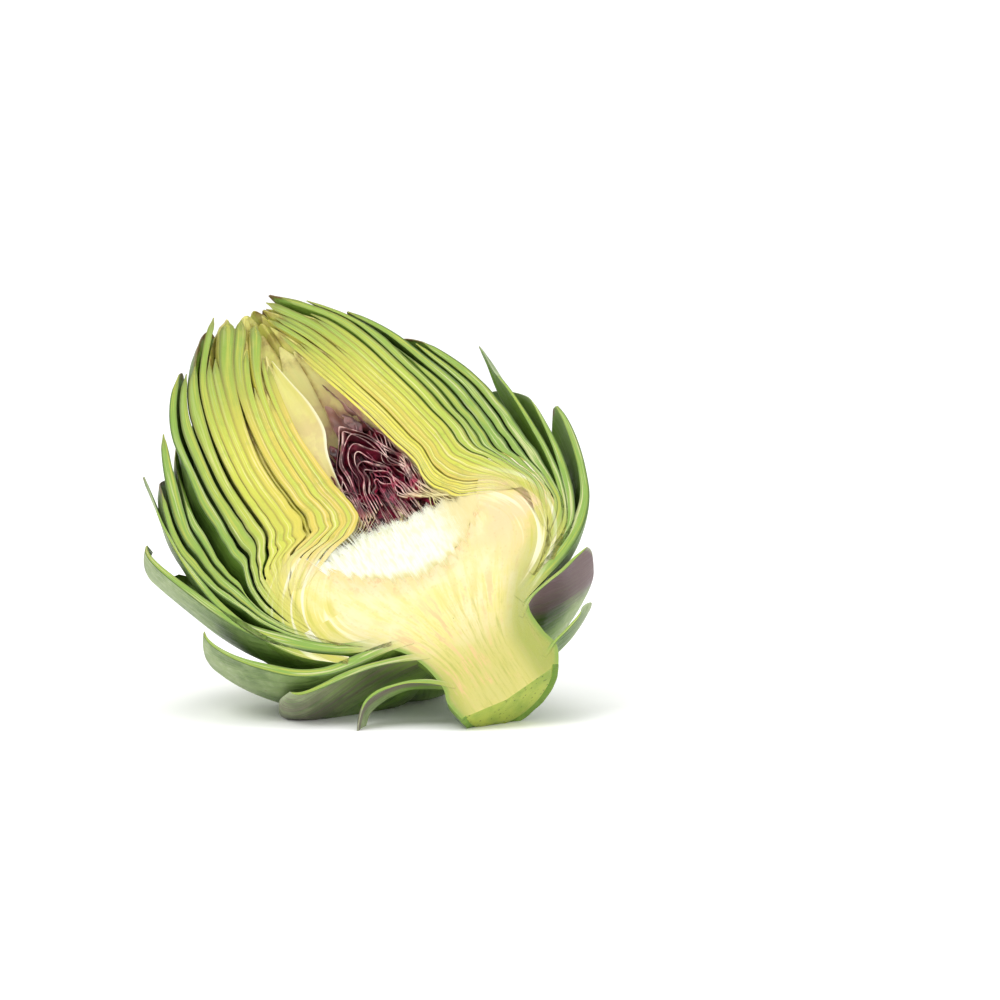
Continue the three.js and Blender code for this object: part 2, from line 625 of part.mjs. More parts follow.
function leafletOnCore(turn, height, k) {
  const length = LEAFLET_LENGTH * (1 + 0.2 * draw(k, 8));
  const kept = Math.min(Math.max(turn, FRONT_CLEAR), Math.PI - FRONT_CLEAR);
  const base = place(coreRadius(height, kept) - LEAFLET_ROOT, height, kept);
  const tip = place(coreRadius(height + length, kept) + LEAFLET_LEAN, height + length, kept);
  return leafletSolid(base, tip, place(1, 0, kept), LEAFLET_WIDTH);
}

function frontLeaflets() {
  return FRONT_LEAFLETS.map(([[fromX, fromZ], [toX, toZ]]) => {
    const base = new THREE.Vector3(fromX, PURPLE_RECESS + FRONT_ROOT, fromZ);
    const tip = new THREE.Vector3(toX, PURPLE_RECESS - FRONT_TIP, toZ);
    return leafletSolid(base, tip, new THREE.Vector3(0, -1, 0), LEAFLET_WIDTH * FRONT_NARROWER);
  });
}

// A small pointed bract from its base to its tip, arched towards the side that it faces.
function leafletSolid(base, tip, facing, width) {
  const across = 2;
  const along = 3;
  const side = new THREE.Vector3().crossVectors(tip.clone().sub(base), facing).normalize();
  const sheet = (face) => (i, j) => {
    const u = i / across - 0.5;
    const v = j / along;
    const wide = width * Math.pow(1 - 0.9 * v * v, 0.8);
    const arch = LEAFLET_ARCH * Math.sin(Math.PI * v) - LEAFLET_CUP * u * u + BLADE_MIN / 2 * face;
    return base.clone().lerp(tip, v).addScaledVector(side, u * wide).addScaledVector(facing, arch);
  };
  return sheetSolid(across, along, sheet(1), sheet(-1));
}

function joinAll(solids) {
  return solids.reduce((whole, solid) => whole.add(solid));
}

function geometryOf(solid) {
  const data = solid.getMesh();
  const geometry = new THREE.BufferGeometry();
  geometry.setAttribute('position', new THREE.Float32BufferAttribute(data.vertProperties, 3));
  geometry.setIndex(new THREE.Uint32BufferAttribute(data.triVerts, 1));
  return geometry;
}

// The largest body alone, with any pocket that the joining has sealed filled in.
function oneBody(solid) {
  const settled = toManifold(geometryOf(solid));
  return settled.decompose().reduce((most, body) => (body.volume() > most.volume() ? body : most));
}

// ---------------------------------------------------------------- assembly

const kept = keptBracts();
const green = kept.filter((bract) => bract.number >= FIRST_GREEN);
const yellow = kept.filter((bract) => bract.number < FIRST_GREEN);

const yellowBracts = joinAll(yellow.map((bract) => bractSolid(bract, 0)));
const clearing = joinAll(green.slice(0, CLEARED_BRACTS).map((bract) => bractSolid(bract, 2 * PART_GAP)));
const heart = oneBody(yellowBracts.subtract(clearing).add(fleshSolid(0, 0)));
const outerBracts = oneBody(joinAll([
  rindSolid(),
  ...green.map((bract) => bractSolid(bract, 0)),
  ...LOOSE_BRACTS.map(looseBractSolid),
]).subtract(fleshSolid(PART_GAP, CUT_THROUGH)));

// The head as it lies, leaning back on its rolled side, with the surface under it pressing the lowest
// bracts flat. The origin is on that surface, under the middle of the whole.
const head = new THREE.Group();
head.rotation.set(-LEAN, -ROLL, 0, 'XYZ');
head.updateMatrixWorld();

function restingBox(solids) {
  const box = new THREE.Box3();
  const points = solids.flatMap((solid) => Array.from(solid.getMesh().vertProperties));
  for (let i = 0; i < points.length; i += 3) {
    box.expandByPoint(new THREE.Vector3(...points.slice(i, i + 3)).applyMatrix4(head.matrixWorld));
  }
  return box;
}

function pressedFlat(solid, floor) {
  const block = new THREE.BoxGeometry(BLOCK_WIDTH, BLOCK_WIDTH, BLOCK_HEIGHT);
  block.translate(0, 0, floor - BLOCK_HEIGHT / 2);
  block.applyMatrix4(head.matrixWorld.clone().invert());
  return oneBody(solid.subtract(toManifold(block)));
}

const floor = restingBox([outerBracts]).min.z + FLOOR_TRIM;
const pressedBracts = pressedFlat(outerBracts, floor);
const whole = restingBox([heart, pressedBracts]);
const middle = whole.getCenter(new THREE.Vector3());
head.position.set(-middle.x, -middle.y, -floor);

const SUB_PARTS = [
  { name: 'heart', solid: heart, colour: 0xe9e08f, roughness: 0.55 },
  { name: 'choke', solid: chokeSolid(), colour: 0xf1ecd6, roughness: 0.8 },
  { name: 'purple_bracts', solid: purpleSolid(), colour: 0x6e2438, roughness: 0.55 },
  { name: 'outer_bracts', solid: pressedBracts, colour: 0x6f9a45, roughness: 0.5 },
];

function meshOf({ name, solid, colour, roughness }) {
  const geometry = geometryOf(solid);
  geometry.computeVertexNormals();
  const material = new THREE.MeshStandardMaterial({ color: colour, roughness, metalness: 0 });
  const mesh = new THREE.Mesh(geometry, material);
  mesh.name = name;
  return mesh;
}

SUB_PARTS.forEach((part) => head.add(meshOf(part)));

const artichoke = new THREE.Group();
artichoke.add(head);

export default artichoke;
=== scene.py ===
"""Looks of one half of a globe artichoke that was cut from tip to stem and lies on its round back.

Every piece is worked out in the head's own frame, in millimetres, and then turned into its resting pose:
    x  across the cut face, to the right
    y  behind the cut face, which is y = 0
    z  along the head from stem to tip, with 0 at the broadest part of the heart
A place on the head has a radius from the head's axis, a height z and a turn about the axis, which is 0 at
the right edge of the cut and pi at its left edge. "Layer" is a bract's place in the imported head, from 0 at
the middle to 1 outside, and "along" runs from 0 at the root of the layer to 1 at the head's tip.
"""

import logging
import math
from dataclasses import dataclass, field
from enum import Enum

import bpy
import numpy as np
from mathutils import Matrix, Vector
from mathutils.geometry import tessellate_polygon


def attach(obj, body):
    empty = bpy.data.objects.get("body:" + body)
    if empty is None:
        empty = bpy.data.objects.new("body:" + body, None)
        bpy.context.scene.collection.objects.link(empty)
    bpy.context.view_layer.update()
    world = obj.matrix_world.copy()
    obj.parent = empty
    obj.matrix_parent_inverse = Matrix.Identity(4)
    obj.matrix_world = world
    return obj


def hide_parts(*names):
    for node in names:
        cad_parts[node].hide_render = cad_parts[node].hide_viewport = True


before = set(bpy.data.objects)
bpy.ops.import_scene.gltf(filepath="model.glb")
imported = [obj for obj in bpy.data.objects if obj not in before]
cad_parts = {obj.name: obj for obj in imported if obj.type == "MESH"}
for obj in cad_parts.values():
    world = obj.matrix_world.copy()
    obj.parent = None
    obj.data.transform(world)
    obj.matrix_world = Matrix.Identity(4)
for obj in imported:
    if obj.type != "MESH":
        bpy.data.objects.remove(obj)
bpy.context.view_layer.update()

Array = np.ndarray
Pair = tuple[float, float]
Triple = tuple[float, float, float]
log = logging.getLogger("artichoke")

MM = 0.001
GOLDEN_TURN = math.radians(137.508)


# ------ numbers and curves


def smoothstep(low: float, high: float, x: Array | float) -> Array:
    """Smooth rise from 0 at low to 1 at high: 3t^2 - 2t^3 of the clamped share t.

    Args:
        low: where the rise starts.
        high: where it ends.
        x: values to be eased.

    Returns:
        The eased values.
    """
    t = np.clip((np.asarray(x, float) - low) / (high - low), 0, 1)
    return t * t * (3 - 2 * t)


def lerp(a: Array | float, b: Array | float, t: Array | float) -> Array | float:
    """Straight blend from a to b by the share t."""
    return a + (b - a) * t


def draw(k: int, kind: int) -> float:
    """Repeatable number between -1 and 1: the fraction of a fast sine."""
    wave = math.sin(k * 12.9898 + kind * 78.233) * 43758.5453
    return 2 * (wave - math.floor(wave)) - 1


def ripple(a: Array, b: Array | float, c: Array | float, seed: int) -> Array:
    """Smooth wandering value of about -1 to 1: the sum of six sines of slanted mixes of a, b and c.

    Args:
        a: first coordinate, about one swell for each unit.
        b: second coordinate.
        c: third coordinate.
        seed: picks the slants and phases.

    Returns:
        The value at each place.
    """
    rng = np.random.default_rng(seed)
    total = np.zeros(np.broadcast(a, b, c).shape)
    for _ in range(6):
        slant = rng.normal(0, 1, 3)
        slant *= 2 * math.pi * rng.uniform(0.6, 1.3) / np.linalg.norm(slant)
        total = total + np.sin(slant[0] * a + slant[1] * b + slant[2] * c + rng.uniform(0, 2 * math.pi))
    return total / 2.6


def curve(knots: Array, points: Array, t: Array) -> Array:
    """Cubic Hermite curve through points, whose slope at a point is taken across its two neighbours.

    Args:
        knots: rising values of t at the points, (n,).
        points: the points, (n, d).
        t: where the curve is wanted, of any shape. Beyond the ends it runs on straight.

    Returns:
        Places of shape t.shape + (d,).
    """
    knots = np.asarray(knots, float)
    points = np.asarray(points, float)
    t = np.asarray(t, float)
    low = np.maximum(np.arange(len(knots)) - 1, 0)
    high = np.minimum(np.arange(len(knots)) + 1, len(knots) - 1)
    slopes = (points[high] - points[low]) / (knots[high] - knots[low])[:, None]
    k = np.clip(np.searchsorted(knots, t, side="right") - 1, 0, len(knots) - 2)
    width = (knots[k + 1] - knots[k])[..., None]
    f = (t - knots[k])[..., None] / width
    g = np.clip(f, 0, 1)
    inside = (
        (2 * g**3 - 3 * g**2 + 1) * points[k]
        + (g**3 - 2 * g**2 + g) * width * slopes[k]
        + (3 * g**2 - 2 * g**3) * points[k + 1]
        + (g**3 - g**2) * width * slopes[k + 1]
    )
    end = np.where(f < 0, slopes[k], slopes[k + 1])
    return inside + (f - g) * width * end


def parameters(columns: int, rows: int, low: float = 0.0) -> list[Array]:
    """Two parameters on one grid: across from low to 1, and along from 0 to 1."""
    return np.meshgrid(np.linspace(low, 1, columns), np.linspace(0, 1, rows))


def vectors(*parts: Array | float) -> Array:
    """Vectors with these parts, spread over one grid."""
    return np.stack(np.broadcast_arrays(*parts), axis=-1)


def place(radius: Array, height: Array, turn: Array) -> Array:
    """Points of a radius, height and turn; the two cut edges lie exactly at y = 0."""
    depth = np.where(np.isclose(turn, math.pi), 0.0, radius * np.sin(turn))
    return vectors(radius * np.cos(turn), depth, height)


def right_share(turn: Array) -> Array:
    """Share of the right-hand outline at a turn: 1 at the right edge and 0 at the left edge."""
    return (1 + np.cos(turn)) / 2


# ------ pose and view


@dataclass(frozen=True)
class HeadPose:
    """How the head lies on the surface.

    Attributes:
        roll: lean of the head's axis to the left, in the cut face.
        lean: lean of the cut face back from upright.
        origin: where the head's own origin lies, in millimetres of the row frame.
    """

    roll: float = math.radians(31)
    lean: float = math.radians(31)
    origin: Triple = (15.5922, -21.2386, 32.4834)

    def to_row(self, points: Array) -> Array:
        """Head frame to row frame: turned about Y by -roll, about X by -lean, moved, and put in metres.

        Args:
            points: places in the head's frame, (n, 3), millimetres.

        Returns:
            The same places in the row frame, in metres.
        """
        c, s = math.cos(self.roll), math.sin(self.roll)
        about_y = np.array([[c, 0, -s], [0, 1, 0], [s, 0, c]])
        c, s = math.cos(self.lean), math.sin(self.lean)
        about_x = np.array([[1, 0, 0], [0, c, s], [0, -s, c]])
        return (points @ (about_x @ about_y).T + np.array(self.origin)) * MM


POSE = HeadPose()


# ------ meshes


class Side(Enum):
    """Which material slot of a piece a face takes."""

    SKIN = 0
    CUT = 1


@dataclass
class Shell:
    """A mesh in the making, in the head's frame.

    Attributes:
        points: vertices, (n, 3), millimetres.
        corners: vertex numbers of all faces in a row.
        sizes: how many corners each face has.
        slots: each face's material slot.
        marks: named values at the vertices, (n,) or (n, 3), that the materials read.
    """

    points: Array
    corners: Array
    sizes: Array
    slots: Array
    marks: dict[str, Array] = field(default_factory=dict)

    def facing_out(self) -> "Shell":
        """The same shell with every face turned round if its volume comes out negative."""
        starts = np.cumsum(self.sizes) - self.sizes
        volume = 0.0
        for size in np.unique(self.sizes):
            rows = self.corners[starts[self.sizes == size][:, None] + np.arange(size)]
            for j in range(1, size - 1):
                a, b, c = self.points[rows[:, 0]], self.points[rows[:, j]], self.points[rows[:, j + 1]]
                volume += np.einsum("ij,ij->", a, np.cross(b, c))
        if volume < 0:
            faces = np.split(self.corners, starts[1:])
            self.corners = np.concatenate([face[::-1] for face in faces])
        return self


def joined(shells: list[Shell]) -> Shell:
    """All shells as one; they carry the same marks."""
    offsets = np.cumsum([0] + [len(s.points) for s in shells[:-1]])
    return Shell(
        np.concatenate([s.points for s in shells]),
        np.concatenate([s.corners + k for s, k in zip(shells, offsets)]),
        np.concatenate([s.sizes for s in shells]),
        np.concatenate([s.slots for s in shells]),
        {name: np.concatenate([s.marks[name] for s in shells]) for name in shells[0].marks},
    )


LEAF_STEP = 7.3
FREE_MARGIN = 1.5
RIND = 2.0


def marks_for(points: Array, **given: Array | float) -> dict[str, Array]:
    """The marks that every material may read, with zeros for what isn't given.

    Leaf numbers are steps apart, so that no two bracts have the same fibres. Growth's third part is 0 in
    the middle of a bract and 1 at its margin. Two values above 1 name a place: FREE_MARGIN is reached at
    the free margin of the innermost yellow bract alone, and RIND is the green skin of the stem.

    Args:
        points: vertices in the head's frame, (n, 3).
        given: any of leaf (mm across, mm along, number times LEAF_STEP), growth (layer, share of own
            length, way to the margin), side (0 inner face, 1 outer face) and flush (0 to 1, purple).

    Returns:
        Arrays for place (in centimetres), leaf, growth, side and flush.
    """
    count = len(points)
    marks = {"place": points / 10}
    for name in ("leaf", "growth"):
        marks[name] = np.broadcast_to(given.get(name, 0.0), (count, 3)).astype(float)
    for name in ("side", "flush"):
        marks[name] = np.broadcast_to(given.get(name, 0.0), (count,)).astype(float)
    return marks


def blade(outer: Array, inner: Array, front: float = 0.0, **given: Array) -> Shell:
    """A thin closed solid between two sheets of one grid, with a rim all round.

    Rim faces that lie in the cut plane get the cut slot, and are moved back to the front depth.

    Args:
        outer: the outer sheet, (rows, columns, 3).
        inner: the inner sheet, on the same grid.
        front: depth of its cut edges behind the cut plane, in millimetres.
        given: leaf, growth and flush, each on the grid.

    Returns:
        The shell.
    """
    rows, columns = outer.shape[:2]
    n = rows * columns
    grid = np.arange(n).reshape(rows, columns)
    quad = np.stack([grid[:-1, :-1], grid[:-1, 1:], grid[1:, 1:], grid[1:, :-1]], -1).reshape(-1, 4)
    ring = np.concatenate([grid[0, :-1], grid[:-1, -1], grid[-1, :0:-1], grid[:0:-1, 0]])
    after = np.roll(ring, -1)
    rim = np.stack([ring, ring + n, after + n, after], -1)
    faces = np.concatenate([quad, quad[:, ::-1] + n, rim])
    points = np.concatenate([outer.reshape(-1, 3), inner.reshape(-1, 3)])
    slots = np.zeros(len(faces), int)
    in_plane = (np.abs(points[ring, 1]) < 1e-6) & (np.abs(points[after, 1]) < 1e-6)
    slots[len(quad) * 2 :][in_plane] = Side.CUT.value
    points[:, 1] = np.maximum(points[:, 1], front)
    both = {name: np.concatenate([v.reshape(n, -1)] * 2) for name, v in given.items()}
    both = {name: v[:, 0] if v.shape[1] == 1 else v for name, v in both.items()}
    side = np.repeat([1.0, 0.0], n)
    marks = marks_for(points, side=side, **both)
    return Shell(points, faces.ravel(), np.full(len(faces), 4), slots, marks).facing_out()


def half_turn(left: Array, right: Array, steps: int, front: float) -> Shell:
    """Half a turn of an outline that starts and ends on the axis, closed by its flat cut face.

    Args:
        left: [radius, height] points of the left outline, (n, 2).
        right: the same number of points of the right outline.
        steps: facets round the half turn.
        front: depth of the flat face behind the cut plane, in millimetres.

    Returns:
        The shell, with the flat face in the cut slot.
    """
    turn = np.linspace(0, math.pi, steps + 1)[:, None]
    share = right_share(turn)
    points = place(lerp(left[:, 0], right[:, 0], share), lerp(left[:, 1], right[:, 1], share), turn)
    points[..., 1] = np.maximum(points[..., 1], front)
    count = len(left)
    grid = np.arange((steps + 1) * count).reshape(steps + 1, count)
    quads = np.stack([grid[:-1, :-1], grid[1:, :-1], grid[1:, 1:], grid[:-1, 1:]], -1).reshape(-1, 4)
    ring = np.concatenate([grid[0], grid[-1, -2:0:-1]])
    flat = points.reshape(-1, 3)
    corners = np.array(tessellate_polygon([[Vector(p) for p in flat[ring]]]))
    caps = ring[corners]
    normal = np.cross(flat[caps[:, 1]] - flat[caps[:, 0]], flat[caps[:, 2]] - flat[caps[:, 0]])[:, 1]
    caps = np.where((normal > 0)[:, None], caps[:, ::-1], caps)
    outwards = np.cross(points[1, 1] - points[0, 1], points[0, 2] - points[0, 1])[0]
    if outwards * points[0, 1, 0] < 0:
        quads = quads[:, ::-1]
    sizes = np.concatenate([np.full(len(quads), 4), np.full(len(caps), 3)])
    slots = np.concatenate([np.zeros(len(quads), int), np.full(len(caps), Side.CUT.value)])
    return Shell(flat, np.concatenate([quads.ravel(), caps.ravel()]), sizes, slots, marks_for(flat))


def hairs(spine: Array, radius: Array, sides: int, **given: Array) -> Shell:
    """Many thin tapered hairs, each a prism carried along its own spine and closed at both ends.

    Args:
        spine: points of each hair's middle line, (hairs, rings, 3).
        radius: its radius at each ring, (hairs, rings).
        sides: corners of its section.
        given: marks with one value for each hair, (hairs,) or (hairs, 3).

    Returns:
        The shell.
    """
    count, rings = spine.shape[:2]
    run = np.gradient(spine, axis=1)
    run /= np.linalg.norm(run, axis=2, keepdims=True)
    across = np.cross(run, np.array([0.31, 0.9, 0.3]))
    across /= np.linalg.norm(across, axis=2, keepdims=True)
    other = np.cross(run, across)
    angle = np.arange(sides) * 2 * math.pi / sides
    wide = across[:, :, None] * np.cos(angle)[:, None] + other[:, :, None] * np.sin(angle)[:, None]
    points = (spine[:, :, None] + wide * radius[:, :, None, None]).reshape(-1, 3)
    grid = np.arange(count * rings * sides).reshape(count, rings, sides)
    nxt = np.roll(grid, -1, axis=2)
    wall = np.stack([grid[:, :-1], nxt[:, :-1], nxt[:, 1:], grid[:, 1:]], -1).reshape(-1, 4)
    ends = np.concatenate([grid[:, 0, ::-1], grid[:, -1]])
    sizes = np.concatenate([np.full(len(wall), 4), np.full(len(ends), sides)])
    spread = {name: np.repeat(v, rings * sides, axis=0) for name, v in given.items()}
    share = np.tile(np.repeat(np.linspace(0, 1, rings), sides), count)
    marks = marks_for(points, side=share, **spread)
    corners = np.concatenate([wall.ravel(), ends.ravel()])
    return Shell(points, corners, sizes, np.zeros(len(sizes), int), marks)


def piece(name: str, shell: Shell, finishes: list[bpy.types.Material], crease: float) -> bpy.types.Object:
    """Puts a shell into the scene as one object at the origin, in metres of the row frame.

    Args:
        name: the object's name.
        shell: its mesh.
        finishes: one material for each slot.
        crease: edges sharper than this many degrees are shaded sharp.

    Returns:
        The object.
    """
    mesh = bpy.data.meshes.new(name)
    points = POSE.to_row(shell.points)
    points[:, 2] = np.maximum(points[:, 2], 0)
    mesh.vertices.add(len(points))
    mesh.vertices.foreach_set("co", points.astype(np.float32).ravel())
    mesh.loops.add(len(shell.corners))
    mesh.loops.foreach_set("vertex_index", shell.corners.astype(np.int32))
    mesh.polygons.add(len(shell.sizes))
    mesh.polygons.foreach_set("loop_start", (np.cumsum(shell.sizes) - shell.sizes).astype(np.int32))
    mesh.polygons.foreach_set("material_index", shell.slots.astype(np.int32))
    mesh.update(calc_edges=True)
    for key, values in shell.marks.items():
        kind = "FLOAT_VECTOR" if values.ndim == 2 else "FLOAT"
        attribute = mesh.attributes.new(key, kind, "POINT")
        target = "vector" if values.ndim == 2 else "value"
        attribute.data.foreach_set(target, values.astype(np.float32).ravel())
    for finish in finishes:
        mesh.materials.append(finish)
    mesh.shade_smooth()
    mesh.set_sharp_from_angle(angle=math.radians(crease))
    mesh.validate()
    made = bpy.data.objects.new(name, mesh)
    bpy.context.scene.collection.objects.link(made)
    triangles = int((shell.sizes - 2).sum())
    log.info("%s: %d triangles", name, triangles)
    return made


# ------ the head's layers and its spiral


@dataclass
class Layers:
    """The nested family of surfaces that the bracts of the closed head lie in.

    Attributes:
        knots: shares along a layer, from root to tip, at which its line is given.
        left: lines of five layers in the left cut edge as [radius, height], the innermost first.
        right: the same in the right cut edge.
        wave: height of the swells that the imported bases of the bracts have, in millimetres.
        kink: height of the kinks where the inner bracts leave the heart on the left, in millimetres.
    """

    knots: tuple[float, ...] = (0, 0.08, 0.16, 0.26, 0.4, 0.55, 0.7, 0.85, 1)
    left: tuple[tuple[Pair, ...], ...] = (
        ((21, 17.5), (15, 20.2), (9, 22), (6, 25.5), (6.6, 33.5),
         (7.4, 43), (7.2, 54), (5.2, 67), (1.2, 80)),
        ((28.5, 20), (26, 24), (20.5, 25.5), (17, 29.5), (17.4, 39),
         (17.2, 50), (14.5, 63), (9.5, 76), (3.5, 87)),
        ((32, 13), (33.6, 19.5), (32.3, 25.5), (29.6, 31), (28.9, 40),
         (28.3, 50), (25.3, 63), (18.5, 77), (8.5, 90)),
        ((33, 5.5), (36.6, 12), (38.8, 20), (39.4, 28), (39.5, 38.5),
         (38.4, 50), (34.5, 62), (25.5, 76), (12, 90.5)),
        ((27, -1.5), (34, 4), (39.8, 12), (44.7, 21.5), (48.3, 34),
         (47.8, 47), (43, 61), (31.5, 76), (14.5, 91)),
    )
    right: tuple[tuple[Pair, ...], ...] = (
        ((27, 12.8), (21, 15.2), (16.4, 17.6), (13.4, 22), (12.2, 31.5),
         (9.8, 43.5), (7, 54.5), (3.6, 67), (0.8, 80)),
        ((29.5, 12.5), (26, 17), (21.6, 20.2), (18.6, 25.2), (17.4, 35),
         (15.3, 47), (12.2, 59), (7.8, 72), (2.2, 84.5)),
        ((31, 8.5), (31.2, 15), (29.2, 20.8), (26.2, 26.6), (24.5, 36),
         (22, 48), (18.5, 60), (12.3, 73.5), (3.6, 86.5)),
        ((33.5, 2), (36.3, 9.5), (35.2, 17), (33.4, 24), (33, 35),
         (30.5, 47), (25.5, 59.5), (17.2, 73.5), (5, 88)),
        ((29, -6), (37.6, -0.5), (40.8, 8), (42.2, 19), (41.7, 33),
         (37.5, 48), (30.7, 61), (19.5, 74), (6.5, 88.8)),
    )
    wave: float = 0.45
    kink: float = 1.2

    def at(self, layer: Array, along: Array, turn: Array) -> Array:
        """Radius and height on the family.

        The line of a layer is a straight blend of the two given lines next to it, and the line at a turn
        is a blend of the left and right ones by the turn's right share. Swells that change slowly from
        layer to layer are added to the radius, fading out above the heart. So are kinks on the left: a sine
        of the share along, under a bell curve about the place where the inner bracts leave the heart.

        Args:
            layer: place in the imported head.
            along: share of the way from root to tip.
            turn: turn about the axis.

        Returns:
            Radius and height in the last axis.
        """
        layer, along, turn = np.broadcast_arrays(layer, along, turn)
        k = np.clip(np.floor(layer * 4).astype(int), 0, 3)
        f = (layer * 4 - k)[..., None]
        sides = []
        for lines in (self.left, self.right):
            every = np.stack([curve(self.knots, line, along) for line in lines])
            inner = np.take_along_axis(every, k[None, ..., None], axis=0)[0]
            outer = np.take_along_axis(every, k[None, ..., None] + 1, axis=0)[0]
            sides.append(lerp(inner, outer, f))
        spot = lerp(sides[0], sides[1], right_share(turn)[..., None])
        fading = 1 - 0.9 * smoothstep(0.25, 0.55, along)
        swell = self.wave * fading * ripple(along * 7, turn * 1.6, layer * 2.2, 11)
        fine = 0.35 * self.wave * fading * ripple(along * 16, turn * 4, layer * 5, 12)
        ease = smoothstep(0, 0.08, along) * (1 - smoothstep(0.85, 1, along))
        distance = ((along - 0.17) / 0.08) ** 2 + ((layer - 0.3) / 0.22) ** 2
        bell = np.exp(-distance) * (1 - right_share(turn))
        kink = self.kink * bell * np.sin(along * 64 + layer * 5 + turn)
        return spot + ((swell + fine) * ease + kink)[..., None] * np.array([1.0, 0.0])

    def spread(self, layer: Array, along: Array, turn: Array) -> Array:
        """Millimetres, square to the layers, for one whole step of the layer number.

        It is the area between a small step outwards and a small step along, over the length of the latter.

        Args:
            layer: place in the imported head.
            along: share of the way from root to tip.
            turn: turn about the axis.

        Returns:
            The spread at each place.
        """
        step = 0.004
        here = self.at(layer, along, turn)
        out = self.at(layer + step, along, turn) - here
        up = self.at(layer, along + step, turn) - here
        area = np.abs(up[..., 0] * out[..., 1] - up[..., 1] * out[..., 0])
        return area / np.linalg.norm(up, axis=-1) / step


@dataclass(frozen=True)
class Bract:
    """One bract of the closed head's spiral, counted from the middle outwards.

    Attributes:
        number: its number.
        layer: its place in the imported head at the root.
        turn: turn of its middle line.
        half_width: half the turn that it covers.
        shoulder: share along at which it starts to narrow.
        tip: share along at which it ends.
        room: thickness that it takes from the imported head, in millimetres.
        filling: share of that room that its blade fills.
        flare: how far its tip stands off the bracts inside it, in millimetres.
    """

    number: int
    layer: float
    turn: float
    half_width: float
    shoulder: float
    tip: float
    room: float
    filling: float
    flare: float

    def sideways(self, turn: Array) -> Array:
        """0 on the middle line and 1 at the widest margin."""
        between = np.abs(np.mod(turn - self.turn + math.pi, 2 * math.pi) - math.pi)
        return between / self.half_width

    def upwards(self, along: Array) -> Array:
        """0 at the shoulder and below it, and 1 at the tip."""
        return np.maximum(0, (along - self.shoulder) / (self.tip - self.shoulder))

    def outline(self, along: Array, turn: Array) -> Array:
        """0 in the middle, 1 on the outline and more outside: sideways^1.9 + upwards^1.6."""
        return self.sideways(turn) ** 1.9 + self.upwards(along) ** 1.6

    def top(self, turn: Array) -> Array:
        """Share along at which the outline is met at a turn, from the same sum of powers."""
        rise = (1 - np.minimum(self.sideways(turn), 1) ** 1.9) ** (1 / 1.6)
        return lerp(self.shoulder, self.tip, rise)

    def stand_off(self, along: Array) -> Array:
        """Millimetres that the blade stands off, growing with the cube of the way from shoulder to tip."""
        return self.flare * np.minimum(self.upwards(along), 1.2) ** 3

    def cover(self, along: Array, turn: Array) -> Array:
        """Share of the full thickness: 1 in the middle, fading out smoothly across the outline."""
        return 1 - smoothstep(0.5, 1.5, self.outline(along, turn))

    def room_taken(self, along: Array, turn: Array) -> Array:
        """Millimetres taken from the bracts outside."""
        return self.cover(along, turn) * (self.room + self.stand_off(along))


